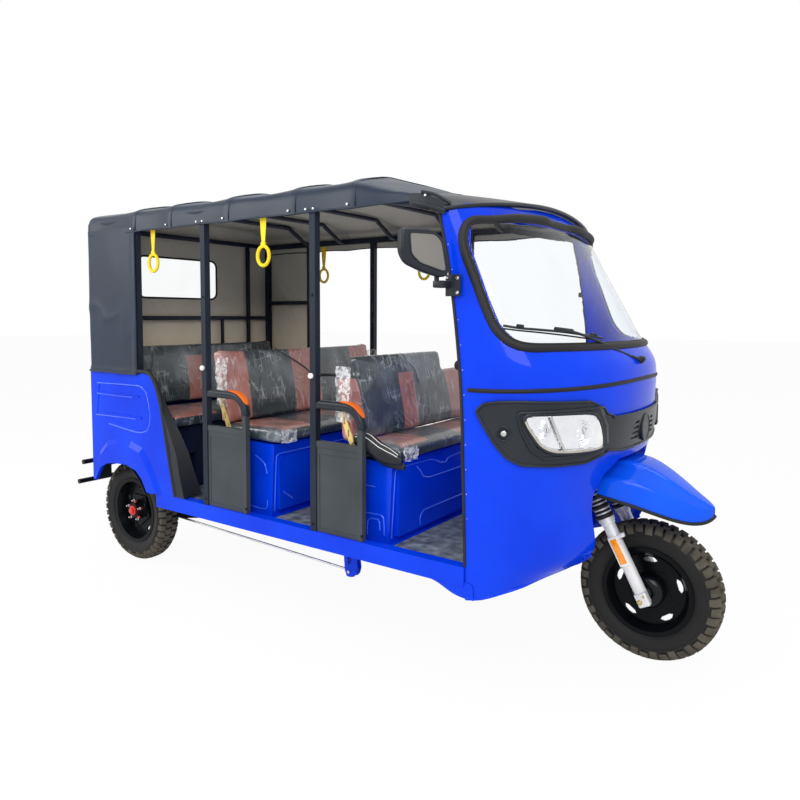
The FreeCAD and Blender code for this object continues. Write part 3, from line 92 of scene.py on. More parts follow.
def grain_group():
    """Two scales of unevenness: soft patches and fine grain, with a height for a bump"""
    group = bpy.data.node_groups.new("Surface grain", "ShaderNodeTree")
    group.interface.new_socket("Vector", in_out="INPUT", socket_type="NodeSocketVector")
    for name, value in (("Patch size", 6.0), ("Grain size", 300.0), ("Grain share", 0.5)):
        socket = group.interface.new_socket(name, in_out="INPUT", socket_type="NodeSocketFloat")
        socket.default_value = value
    group.interface.new_socket("Patches", in_out="OUTPUT", socket_type="NodeSocketFloat")
    group.interface.new_socket("Height", in_out="OUTPUT", socket_type="NodeSocketFloat")
    inside = group.nodes.new("NodeGroupInput")
    outside = group.nodes.new("NodeGroupOutput")
    patches = node(group, "ShaderNodeTexNoise", {"Vector": inside.outputs["Vector"],
                                                 "Scale": inside.outputs["Patch size"]}, Detail=4.0)
    grain = node(group, "ShaderNodeTexNoise", {"Vector": inside.outputs["Vector"],
                                               "Scale": inside.outputs["Grain size"]}, Detail=2.0)
    mixed = group.nodes.new("ShaderNodeMix")
    group.links.new(inside.outputs["Grain share"], mixed.inputs["Factor"])
    group.links.new(patches.outputs["Fac"], mixed.inputs["A"])
    group.links.new(grain.outputs["Fac"], mixed.inputs["B"])
    group.links.new(patches.outputs["Fac"], outside.inputs["Patches"])
    group.links.new(mixed.outputs["Result"], outside.inputs["Height"])
    return group


GRAIN = grain_group()


def grained(tree, coordinates, patch, grain, share):
    made = tree.nodes.new("ShaderNodeGroup")
    made.node_tree = GRAIN
    tree.links.new(coordinates, made.inputs["Vector"])
    made.inputs["Patch size"].default_value = patch
    made.inputs["Grain size"].default_value = grain
    made.inputs["Grain share"].default_value = share
    return made


def finish_material(name, colours, roughness, grain=(6, 300, 0.5), bump=0.1, distance=0.0004, **sockets):
    """A finish with two uneven tones, a roughness that varies and a fine bump"""
    made, tree, principled, place = shader(name)
    surface = grained(tree, place, *grain)
    dark, light = colours
    colour = ramp(tree, surface.outputs["Patches"], [(0.3, dark), (0.7, light)])
    tree.links.new(colour, principled.inputs["Base Color"])
    low, high = roughness
    rough = node(tree, "ShaderNodeMapRange", {"Value": surface.outputs["Patches"]})
    rough.inputs["From Min"].default_value = 0.3
    rough.inputs["From Max"].default_value = 0.7
    rough.inputs["To Min"].default_value = low
    rough.inputs["To Max"].default_value = high
    tree.links.new(rough.outputs["Result"], principled.inputs["Roughness"])
    raised = node(tree, "ShaderNodeBump", {"Height": surface.outputs["Height"]}, Strength=bump, Distance=distance)
    tree.links.new(raised.outputs["Normal"], principled.inputs["Normal"])
    principled.inputs["Specular IOR Level"].default_value = 0.25
    for socket, value in sockets.items():
        principled.inputs[socket.replace("_", " ")].default_value = value
    return made


FINISH = {
    "blue": finish_material("gloss blue paint", ((0.0005, 0.032, 0.60), (0.001, 0.052, 0.75)), (0.16, 0.24),
                            (3, 900, 0.3), 0.04, 0.0003, Coat_Weight=0.25, Coat_Roughness=0.03, Specular_IOR_Level=0.03),
    "frame": finish_material("satin navy frame paint", ((0.006, 0.009, 0.022), (0.012, 0.018, 0.04)), (0.35, 0.5),
                             (5, 700, 0.5), 0.1),
    "guard": finish_material("satin grey guard paint", ((0.040, 0.047, 0.053), (0.056, 0.066, 0.074)), (0.45, 0.6),
                             (5, 700, 0.5), 0.1, Specular_IOR_Level=0.15),
    "post": finish_material("satin dark post paint", ((0.010, 0.014, 0.024), (0.018, 0.024, 0.038)), (0.4, 0.55),
                            (5, 700, 0.5), 0.1, Specular_IOR_Level=0.15),
    "smoked": finish_material("dusty mirror glass", ((0.145, 0.138, 0.128), (0.20, 0.19, 0.175)), (0.1, 0.2),
                              (3, 500, 0.3), 0.05, Coat_Weight=0.4),
    "leatherette": finish_material("black leatherette", ((0.008, 0.009, 0.011), (0.018, 0.020, 0.023)), (0.3, 0.42),
                                   (9, 500, 0.5), 0.25),
    "lip": finish_material("warm grey lamp lip", ((0.36, 0.33, 0.29), (0.46, 0.43, 0.39)), (0.25, 0.4), (30, 500, 0.4),
                           0.1),
    "canvas": finish_material("coated canvas", ((0.007, 0.014, 0.030), (0.013, 0.023, 0.045)), (0.32, 0.46),
                              (4, 900, 0.6), 0.25, Specular_IOR_Level=0.2, Coat_Weight=0.12, Coat_Roughness=0.25),
    "rim": finish_material("black rim enamel", ((0.001, 0.002, 0.003), (0.003, 0.004, 0.005)), (0.22, 0.34),
                           (6, 600, 0.4), 0.06, Coat_Weight=0.04, Specular_IOR_Level=0.08),
    # painted light: a lighter copy of the cab's blue paint, standing in for sky light on the fender's top
    "sky_lit_fender_blue": finish_material("gloss blue fender paint, lightened by painted sky light", ((0.002, 0.075, 0.72), (0.004, 0.105, 0.84)), (0.16, 0.24),
                              (3, 900, 0.3), 0.04, 0.0003, Coat_Weight=0.3, Coat_Roughness=0.03, Specular_IOR_Level=0.03),
    # painted highlight: a lighter, glossier copy of the blue paint, standing in for glints along the pressed lines
    "bead_painted_highlight": finish_material("pressed blue line with painted highlight", ((0.02, 0.10, 0.85), (0.04, 0.14, 0.92)), (0.10, 0.16), (3, 900, 0.3), 0.04,
                            Coat_Weight=0.8, Coat_Roughness=0.03),
    "mat": finish_material("mottled floor mat", ((0.05, 0.06, 0.07), (0.26, 0.29, 0.31)), (0.4, 0.7), (26, 500, 0.4),
                           0.3),
    "rubber": finish_material("black rubber", ((0.010, 0.010, 0.011), (0.020, 0.020, 0.022)), (0.5, 0.65),
                              (8, 600, 0.5), 0.2),
    "tyre": finish_material("tyre side wall", ((0.006, 0.006, 0.006), (0.012, 0.012, 0.012)), (0.5, 0.65),
                            (8, 600, 0.5), 0.2),
    "tread": finish_material("dusty tread", ((0.045, 0.040, 0.030), (0.11, 0.098, 0.075)), (0.75, 0.9),
                             (14, 500, 0.6), 0.4, 0.001),
    "plastic": finish_material("moulded black plastic", ((0.010, 0.013, 0.018), (0.020, 0.024, 0.030)), (0.3, 0.42),
                               (5, 1400, 0.7), 0.15),
    "black": finish_material("black enamel", ((0.002, 0.003, 0.004), (0.005, 0.006, 0.008)), (0.16, 0.28),
                             (6, 600, 0.4), 0.06, Coat_Weight=0.2, Specular_IOR_Level=0.1),
    "silver": finish_material("silver fork paint", ((0.66, 0.66, 0.66), (0.78, 0.78, 0.78)), (0.3, 0.42),
                              (8, 700, 0.4), 0.08, Metallic=0.25),
    "steel": finish_material("zinc steel", ((0.50, 0.50, 0.50), (0.66, 0.66, 0.66)), (0.25, 0.4), (20, 800, 0.4), 0.1,
                             Metallic=1.0),
    "chrome": finish_material("lamp chrome", ((0.86, 0.86, 0.86), (0.95, 0.95, 0.95)), (0.05, 0.12), (30, 800, 0.3),
                              0.05, Metallic=1.0),
    "brass": finish_material("yellow zinc bolts", ((0.55, 0.42, 0.20), (0.68, 0.54, 0.28)), (0.25, 0.4),
                             (20, 800, 0.4), 0.1, Metallic=0.9),
    "white": finish_material("white plastic", ((0.74, 0.74, 0.72), (0.82, 0.82, 0.80)), (0.3, 0.4), (9, 500, 0.4), 0.1),
    "yellow": finish_material("yellow webbing", ((0.80, 0.56, 0.01), (0.92, 0.70, 0.02)), (0.45, 0.6), (9, 900, 0.6),
                              0.2),
    "bracket": finish_material("zinc yellow brackets", ((0.72, 0.52, 0.16), (0.86, 0.66, 0.26)), (0.3, 0.45),
                               (30, 500, 0.5), 0.1, Metallic=0.3),
    "orange": finish_material("orange foam top", ((0.80, 0.14, 0.01), (0.92, 0.19, 0.02)), (0.45, 0.6), (9, 700, 0.6),
                              0.15),
    "amber": finish_material("amber reflector", ((0.90, 0.24, 0.0), (1.0, 0.33, 0.0)), (0.1, 0.2), (60, 400, 0.4), 0.3,
                             Coat_Weight=1.0),
    "red": finish_material("red plastic", ((0.45, 0.008, 0.008), (0.58, 0.015, 0.015)), (0.2, 0.3), (9, 300, 0.4), 0.1,
                           Coat_Weight=0.6),
}


def clear_material(name, colour, roughness):
    """Glass or film that light passes through"""
    made, tree, principled, place = shader(name)
    surface = grained(tree, place, 5, 200, 0.3)
    tint = ramp(tree, surface.outputs["Patches"], [(0.3, colour), (0.7, [c * 0.97 for c in colour])])
    tree.links.new(tint, principled.inputs["Base Color"])
    principled.inputs["Roughness"].default_value = roughness
    principled.inputs["Transmission Weight"].default_value = 1.0
    principled.inputs["IOR"].default_value = 1.12
    return made


FINISH["glass"] = clear_material("windscreen glass", (0.95, 0.98, 1.0), 0.02)
FINISH["lens"] = clear_material("clear lamp lens", (0.97, 0.98, 1.0), 0.03)
FINISH["film"] = clear_material("clear window film", (0.95, 0.97, 0.97), 0.12)

NODE_FINISH = {
    "blue": ["cab_shell", "front_bulkhead", "floor_pan", "rear_quarter_left", "rear_quarter_right", "rear_panel",
             "front_seat_box", "middle_seat_box", "front_fender", "wheel_house"],
    "frame": ["roof_bows", "rear_frame", "rear_posts", "rear_seat_base"],
    "guard": ["side_guards"],
    "post": ["side_frame_left", "side_frame_right"],
    "canvas": ["canopy_roof", "rear_curtain"],
    "rubber": ["windscreen_seal", "armrest_pads", "front_tyre", "rear_left_tyre", "rear_right_tyre", "front_cushion",
               "middle_cushion", "rear_cushion", "front_backrest", "middle_backrest", "rear_backrest"],
    "plastic": ["front_mask", "visor", "mirrors"],
    "black": ["chassis_frame", "wiper", "rear_bumper", "rear_axle", "brake_linkage", "fork_yoke", "handlebar"],
    "rim": ["front_rim", "rear_left_rim", "rear_right_rim"],
    "silver": ["fork_legs"],
    "yellow": ["grab_straps"],
    "bracket": ["seat_brackets"],
    "red": ["rear_lamps"],
    "glass": ["windscreen_glass"],
    "lens": ["headlamps"],
    "film": ["rear_window"],
}
for finish_name, members in NODE_FINISH.items():
    for member in members:
        mesh = NODES[member].data
        mesh.materials.clear()
        mesh.materials.append(FINISH[finish_name])


# Modelling helpers

def alone(piece):
    """Selects one object and makes it active"""
    bpy.ops.object.select_all(action="DESELECT")
    piece.hide_set(False)
    piece.select_set(True)
    bpy.context.view_layer.objects.active = piece


def modified(piece, kind, **values):
    """Adds a modifier and applies it"""
    alone(piece)
    made = piece.modifiers.new(kind.lower(), kind)
    for name, value in values.items():
        setattr(made, name, value)
    bpy.ops.object.modifier_apply(modifier=made.name)
    return piece


def settled(piece):
    """Puts an object's place, turn and size into its mesh"""
    alone(piece)
    bpy.ops.object.transform_apply(location=True, rotation=True, scale=True)
    return piece


def smooth(piece, degrees=40):
    alone(piece)
    bpy.ops.object.shade_smooth_by_angle(angle=math.radians(degrees))
    return piece


def joined(pieces):
    """One object out of several"""
    if len(pieces) == 1:
        return pieces[0]
    bpy.ops.object.select_all(action="DESELECT")
    for piece in pieces:
        piece.select_set(True)
    bpy.context.view_layer.objects.active = pieces[0]
    bpy.ops.object.join()
    return bpy.context.object


def copied(piece, matrix):
    """A copy with its own mesh, moved by a matrix"""
    made = piece.copy()
    made.data = piece.data.copy()
    bpy.context.scene.collection.objects.link(made)
    made.data.transform(matrix)
    if matrix.determinant() < 0:
        made.data.flip_normals()
    return made


def mirrored(piece):
    """A copy on the other side of the vehicle"""
    return copied(piece, Matrix.Scale(-1, 4, (0, 1, 0)))


def block(low, high, bevel=0.002, segments=2):
    """A box between two corners with bevelled edges"""
    low, high = Vector(low), Vector(high)
    bpy.ops.object.select_all(action="DESELECT")
    bpy.ops.mesh.primitive_cube_add(size=1, location=(low + high) / 2)
    made = bpy.context.object
    made.scale = high - low
    settled(made)
    if bevel:
        modified(made, "BEVEL", width=bevel, segments=segments, limit_method="ANGLE")
    return made


def disc(centre, axis, radius, depth, vertices=32, bevel=0.001, segments=2):
    """A round plate with bevelled rims, its middle at the centre"""
    bpy.ops.object.select_all(action="DESELECT")
    turn = Vector(axis).to_track_quat("Z", "Y").to_euler()
    bpy.ops.mesh.primitive_cylinder_add(vertices=vertices, radius=radius, depth=depth, location=centre, rotation=turn)
    made = settled(bpy.context.object)
    if bevel:
        modified(made, "BEVEL", width=bevel, segments=segments, limit_method="ANGLE")
    return made


def tube(points, radius, bends=0.0, cyclic=False, resolution=4, smooth_path=False, sides=3):
    """A round bar along points, as a bevelled curve made a mesh"""
    data = bpy.data.curves.new("bar", "CURVE")
    data.dimensions = "3D"
    data.bevel_depth = radius
    data.bevel_resolution = sides
    data.use_fill_caps = True
    data.resolution_u = resolution
    spline = data.splines.new("NURBS" if smooth_path else "POLY")
    spline.points.add(len(points) - 1)
    for point, place in zip(spline.points, points):
        point.co = (*place, 1)
    if smooth_path:
        spline.order_u = 3
        spline.use_endpoint_u = not cyclic
    spline.use_cyclic_u = cyclic
    made = bpy.data.objects.new("bar", data)
    bpy.context.scene.collection.objects.link(made)
    alone(made)
    bpy.ops.object.convert(target="MESH")
    return bpy.context.object


def turned(profile, axis_point, axis, steps=64, start=None):
    """A closed or open outline spun round an axis: a vertex is extruded from point to point, then spun"""
    bpy.ops.object.select_all(action="DESELECT")
    bpy.ops.mesh.primitive_plane_add(size=0.01, location=profile[0])
    made = bpy.context.object
    settled(made)
    bpy.ops.object.mode_set(mode="EDIT")
    bpy.ops.mesh.select_all(action="SELECT")
    bpy.ops.mesh.merge(type="CENTER")
    for before, after in zip(profile, profile[1:]):
        step = Vector(after) - Vector(before)
        bpy.ops.mesh.extrude_region_move(TRANSFORM_OT_translate={"value": step})
    bpy.ops.mesh.select_all(action="SELECT")
    bpy.ops.mesh.spin(steps=steps, angle=2 * math.pi, center=axis_point, axis=axis)
    bpy.ops.mesh.select_all(action="SELECT")
    bpy.ops.mesh.remove_doubles(threshold=0.00002)
    bpy.ops.mesh.normals_make_consistent(inside=False)
    bpy.ops.object.mode_set(mode="OBJECT")
    return made


def given(piece, name, body, slot, *finishes):
    """Names a finished piece, gives it its materials and lets it ride on its body"""
    piece.name = name
    piece.data.name = name
    if finishes:
        numbers = [face.material_index for face in piece.data.polygons]
        piece.data.materials.clear()
        for each in finishes:
            piece.data.materials.append(FINISH[each])
        for face, number in zip(piece.data.polygons, numbers):
            face.material_index = min(number, len(finishes) - 1)
    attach(piece, body)
    return piece


# Tyres: a turned carcass with rows of tread blocks

TYRE_STEPS = 72
TREAD_PITCHES = 42


def tread_block(corners, side, base, turn_step, feet, tops):
    """Eight places of one tread block: four at its foot and four on top"""
    verts = []
    middle = [sum(corner[axis] for corner in corners) / 4 for axis in (0, 1)]
    for radii, shrink in ((feet, 1.0), (tops, 0.90)):
        for (across, share), radius in zip(corners, radii):
            across = middle[0] + (across - middle[0]) * shrink
            angle = base + (middle[1] + (share - middle[1]) * shrink) * turn_step
            verts.append((radius * math.cos(angle), side * across, radius * math.sin(angle)))
    return verts


def tyre_piece():
    """Tyre about the Y axis at the origin: carcass, shoulder blocks and two staggered rows of centre blocks"""
    outer, inner = 0.270, 0.160
    crown = outer - 0.010
    profile = [(0, -0.038, inner), (0, -0.042, inner + 0.012), (0, -0.049, inner + 0.024),
               (0, -0.0545, inner + 0.046), (0, -0.0550, inner + 0.062), (0, -0.0525, crown - 0.030),
               (0, -0.0460, crown - 0.014), (0, -0.032, crown - 0.004), (0, 0, crown)]
    profile += [(x, -y, z) for x, y, z in reversed(profile[:-1])]
    profile += [(0, 0.030, inner), (0, -0.030, inner), profile[0]]
    carcass = turned(profile, (0, 0, 0), (0, 1, 0), TYRE_STEPS)
    rings = []
    for side in (-1, 1):
        for radius, y in ((inner + 0.020, 0.0475), (inner + 0.058, 0.0552)):
            ring = [(radius * math.cos(a), side * y, radius * math.sin(a))
                    for a in [2 * math.pi * k / TYRE_STEPS for k in range(TYRE_STEPS)]]
            rings.append(tube(ring, 0.0012, cyclic=True, sides=1))
    blocks = []
    turn_step = 2 * math.pi / TREAD_PITCHES
    for index in range(TREAD_PITCHES):
        base = index * turn_step
        reach = crown - (0.034 if index % 2 == 0 else 0.026)
        for side in (-1, 1):
            later = 0.5 if side < 0 else 0
            blocks.append(tread_block(((0.032, 0.08), (0.0545, 0.02), (0.0545, 0.80), (0.032, 0.90)), side, base,
                                      turn_step, (crown - 0.006, reach, reach, crown - 0.006),
                                      (outer - 0.0045, outer - 0.021, outer - 0.021, outer - 0.0045)))
            blocks.append(tread_block(((0.0025, 0.14 + later), (0.029, 0.04 + later), (0.029, 0.78 + later),
                                       (0.0025, 0.92 + later)), side, base, turn_step, (crown - 0.003,) * 4,
                                      (outer, outer - 0.0022, outer - 0.0022, outer)))
    treads = bpy.data.meshes.new("tread")
    faces = []
    for first in range(0, 8 * len(blocks), 8):
        faces.append([first + k for k in (4, 5, 6, 7)])
        for k in range(4):
            faces.append([first + k, first + (k + 1) % 4, first + 4 + (k + 1) % 4, first + 4 + k])
    treads.from_pydata([place for each in blocks for place in each], [], faces)
    tread = bpy.data.objects.new("tread", treads)
    bpy.context.scene.collection.objects.link(tread)
    recalculated(tread)
    modified(tread, "BEVEL", width=0.0014, segments=1, limit_method="ANGLE")
    numbered(tread, 0)
    for face in tread.data.polygons:
        middle = Vector((face.center.x, 0, face.center.z))
        if middle.length > outer - 0.024 and face.normal.dot(middle.normalized()) > 0.80:
            face.material_index = 1
    whole = joined([carcass, tread] + rings)
    return smooth(whole, 38)


def tyres():
    master = tyre_piece()
    for node_name, body in (("front_tyre", "front_wheel"), ("rear_left_tyre", "rear_left_wheel"),
                            ("rear_right_tyre", "rear_right_wheel")):
        low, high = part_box(node_name)
        middle = (low + high) / 2
        made = copied(master, Matrix.Translation(middle))
        given(made, node_name.replace("tyre", "treaded_tyre"), body, "tyre", "tyre", "tread")
        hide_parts(node_name)
    bpy.data.objects.remove(master)


# Canopy and curtain

BOWS = [2.330, 2.051, 1.658, 1.266, 0.960, 0.609]
REAR_END = 2.7465
CANOPY_CORNER = 0.040
HEM = 1.7195


def between(places, value):
    """How far a value lies between its two neighbours of a falling list, from 0 to 1"""
    for high, low in zip(places, places[1:]):
        if low <= value <= high:
            return (high - value) / (high - low), high, low
    return 0.0, value, value


def eased(value):
    value = min(1, max(0, value))
    return value * value * (3 - 2 * value)


def roof_profile(back, share):
    """Across and up for one place on the canvas: share runs from hem to hem"""
    half = 0.6565
    slope = min(1, max(0, (0.950 - back) / (0.950 - 0.609)))
    drop = -0.100 * slope ** 1.25
    points = [(-half, HEM), (-half, HEM + 0.066 + drop / 3), (-half + 0.016, 1.822 + drop), (-half + 0.060, 1.839 + drop),
              (-0.450, 1.871 + drop), (-0.2, 1.877 + drop), (0, 1.879 + drop)]
    points += [(-y, z) for y, z in reversed(points[:-1])]
    spans = [math.dist(a, b) for a, b in zip(points, points[1:])]
    reach = share * sum(spans)
    for (y0, z0), (y1, z1), span in zip(points, points[1:], spans):
        if reach <= span:
            t = reach / span
            return y0 + (y1 - y0) * t, z0 + (z1 - z0) * t
        reach -= span
    return points[-1]


def lined(piece):
    """Thickens a sheet of canvas inwards, with its lining as a second material inside"""
    for each in ("canvas", "lining_with_painted_shade"):
        piece.data.materials.append(FINISH[each])
    return modified(piece, "SOLIDIFY", thickness=0.0027, offset=-1, material_offset=1, material_offset_rim=0)


def rear_corner(reach):
    """Place along the canopy, how far its outline is drawn in, and how far down its rear wall it lies"""
    wall, arc = 0.150, math.pi / 2 * CANOPY_CORNER
    if reach < wall:
        return REAR_END, CANOPY_CORNER, 1 - reach / wall
    if reach < wall + arc:
        turn = (reach - wall) / CANOPY_CORNER
        return REAR_END - CANOPY_CORNER * (1 - math.cos(turn)), CANOPY_CORNER * (1 - math.sin(turn)), 0
    return REAR_END - CANOPY_CORNER - (reach - wall - arc), 0, 0


def canopy_place(back, share):
    """The canvas between its bows: across and up at one place, with sags, folds and the bows' ridges"""
    y, z = roof_profile(back, share)
    t, high, low = between([REAR_END] + BOWS, back)
    free = math.sin(math.pi * t) ** 0.8 if high > low else 0
    side = eased((abs(y) - 0.60) / 0.05)
    top = 1 - side
    sag = 0.030 * (high - low) * free
    fold = noise.noise(Vector((back * 7, share * 16, 3.1))) * 0.005 + noise.noise(Vector((back * 3, share * 5, 9))) * 0.006
    near_bow = min(abs(back - bow) for bow in BOWS[:-1])
    upper = eased((z - HEM - 0.004) / 0.030)
    z += 0.0045 * math.exp(-(near_bow / 0.014) ** 2) * (0.4 + 0.6 * top) * upper + top * (fold * 0.5 * free - sag)
    y += side * fold * (0.4 + 0.6 * free) * (0.5 + 0.5 * upper) - math.copysign(side * (sag * 0.55 + 0.004 * free), y)
    if z < HEM + 0.02:
        z += 0.006 * free
    return y, z


def canopy():
    """Canvas roof pulled tight over its bows, sagging between them, and turned down over the rear corner"""
    bpy.ops.object.select_all(action="DESELECT")
    bpy.ops.mesh.primitive_grid_add(x_subdivisions=140, y_subdivisions=60, size=1)
    made = bpy.context.object
    length = 0.150 + math.pi / 2 * CANOPY_CORNER + REAR_END - CANOPY_CORNER - 0.609
    for vertex in made.data.vertices:
        back, inset, down = rear_corner(length * (vertex.co.x + 0.5))
        y, z = canopy_place(back, vertex.co.y + 0.5)
        y *= 1 - inset / 0.6565
        z = HEM + (z - HEM) * (1 - inset / 0.16)
        z += (HEM - z) * down
        vertex.co = (at(back), y, z)
    modified(made, "SUBSURF", levels=1, render_levels=1)
    return smooth(lined(made), 60)


def numbered(piece, number):
    """Gives every face one material number, for a piece that joins others"""
    for face in piece.data.polygons:
        face.material_index = number
    while len(piece.data.materials) <= number:
        piece.data.materials.append(FINISH["rubber"])
    return piece


def recalculated(piece):
    alone(piece)
    bpy.ops.object.mode_set(mode="EDIT")
    bpy.ops.mesh.select_all(action="SELECT")
    bpy.ops.mesh.normals_make_consistent(inside=False)
    bpy.ops.object.mode_set(mode="OBJECT")
    return piece


CURTAIN_FRONT = 2.318
CURTAIN_OUT = 0.6525
CURTAIN_BACK = 2.7425
CORNER = 0.028


def curtain_plan(reach):
    """Place and outward direction on the curtain's line seen from above, from its right front edge"""
    side = CURTAIN_BACK - CURTAIN_FRONT - CORNER
    back = 2 * (CURTAIN_OUT - CORNER)
    arc = math.pi / 2 * CORNER
    if reach <= side:
        return CURTAIN_FRONT + reach, -CURTAIN_OUT, (0, -1)
    reach -= side
    if reach <= arc:
        turn = reach / CORNER
        away = (-math.sin(turn), -math.cos(turn))
        return (CURTAIN_BACK - CORNER + CORNER * math.sin(turn), -CURTAIN_OUT + CORNER - CORNER * math.cos(turn), away)
    reach -= arc
    if reach <= back:
        return CURTAIN_BACK, -CURTAIN_OUT + CORNER + reach, (-1, 0)
    reach -= back
    if reach <= arc:
        turn = reach / CORNER
        return (CURTAIN_BACK - CORNER + CORNER * math.cos(turn), CURTAIN_OUT - CORNER + CORNER * math.sin(turn),
                (-math.cos(turn), math.sin(turn)))
    return CURTAIN_BACK - CORNER - (reach - arc), CURTAIN_OUT, (0, 1)


def canopy_seams():
    """Piping over each bow and a turned hem along the canopy's lower edge"""
    seams = []
    for back in BOWS[:-1]:
        rows = []
        for step in range(33):
            y, z = canopy_place(back - 0.020, step / 32)
            edge = 0.0016 if abs(y) < 0.60 else 0.0008
            rows.append((at(back - 0.020), y + math.copysign(0.0018, y), z + edge))
        seams.append(tube(rows, 0.0026, sides=2, smooth_path=True))
    for side in (0.0, 1.0):
        line = []
        for step in range(60):
            back = REAR_END - CANOPY_CORNER - (REAR_END - CANOPY_CORNER - 0.612) * step / 59
            y, z = canopy_place(back, side)
            line.append((at(back), y + math.copysign(0.0005, y), z + 0.002))
        seams.append(tube(line, 0.0042, sides=2, smooth_path=True))
    given(smooth(joined(seams), 60), "canopy_seams", "chassis", "canvas", "canvas")


def curtain():
    """Canvas round the rear in one sheet: two sides and the back, with the window cut out"""
    bpy.ops.object.select_all(action="DESELECT")
    bpy.ops.mesh.primitive_grid_add(x_subdivisions=220, y_subdivisions=64, size=1)
    made = bpy.context.object
    length = 2 * (CURTAIN_BACK - CURTAIN_FRONT - CORNER) + 2 * (CURTAIN_OUT - CORNER) + math.pi * CORNER
    low, high = 1.022, 1.748
    for vertex in made.data.vertices:
        reach = length * (vertex.co.x + 0.5)
        rise = vertex.co.y + 0.5
        z = low + (high - low) * rise
        back, y, away = curtain_plan(reach)
        fold = noise.noise(Vector((reach * 5, z * 1.6, 1.7)))
        lean = noise.noise(Vector((reach * 6 + z * 5, z * 3 - reach * 4, 8.2)))
        crease = max(0, 1 - abs(noise.noise(Vector((reach * 5 + z * 4, z * 1.5, 5.1)))) * 9) ** 2
        out = 0.0022 * (fold + 0.6) + 0.0020 * max(0, lean) ** 0.7
        out += 0.0055 * crease * max(0, noise.noise(Vector((reach * 3, z * 2, 7))) + 0.25)
        out += 0.0045 * eased((1.060 - z) / 0.030) * (0.8 + 0.5 * noise.noise(Vector((reach * 11, 0, 4))))
        ends = min(reach, length - reach)
        out += 0.0040 * math.exp(-((ends - 0.016) / 0.012) ** 2)
        z += (1 - rise) ** 4 * 0.006 * noise.noise(Vector((reach * 6, 2, 2)))
        vertex.co = (at(back) + away[0] * out, y + away[1] * out, z)
    facing = made.data.polygons[0]
    if facing.normal.y > 0:
        made.data.flip_normals()
    lined(made)
    hole = block((at(2.82), -0.347, 1.419), (at(2.66), 0.205, 1.649), bevel=0.04, segments=6)
    cut = made.modifiers.new("window", "BOOLEAN")
    cut.object = hole
    cut.operation = "DIFFERENCE"
    alone(made)
    bpy.ops.object.modifier_apply(modifier="window")
    bpy.data.objects.remove(hole)
    return smooth(made, 50)


def curtain_hem():
    """Rolled hem along the curtain's lower edge and down its front edges"""
    length = 2 * (CURTAIN_BACK - CURTAIN_FRONT - CORNER) + 2 * (CURTAIN_OUT - CORNER) + math.pi * CORNER
    line = []
    for step in range(121):
        reach = length * step / 120
        back, y, away = curtain_plan(reach)
        out = 0.0062 + 0.0020 * noise.noise(Vector((reach * 11, 0, 4)))
        drop = 0.006 * noise.noise(Vector((reach * 6, 2, 2)))
        line.append((at(back) + away[0] * out, y + away[1] * out, 1.026 + drop))
    hem = [tube(line, 0.0055, sides=3, smooth_path=True)]
    for side in (-1, 1):
        edge = [(at(CURTAIN_FRONT + 0.001), side * (CURTAIN_OUT + 0.003), 1.026 + 0.715 * step / 12) for step in range(13)]
        hem.append(tube(edge, 0.0040, sides=3, smooth_path=True))
    given(smooth(joined(hem), 60), "curtain_hem", "chassis", "canvas", "canvas")


def rounded_frame(low, high, radius, x, steps=6):
    """Points round a rounded rectangle that stands across the vehicle"""
    (y0, z0), (y1, z1) = low, high
    points = []
    for cy, cz, start in ((y1 - radius, z1 - radius, 0), (y0 + radius, z1 - radius, 90),
                          (y0 + radius, z0 + radius, 180), (y1 - radius, z0 + radius, 270)):
        for step in range(steps + 1):
            turn = math.radians(start + 90 * step / steps)
            points.append((x, cy + radius * math.cos(turn), cz + radius * math.sin(turn)))
    return points


# Seats: pads swollen by a short cloth simulation, then wrinkled like vinyl under clear film

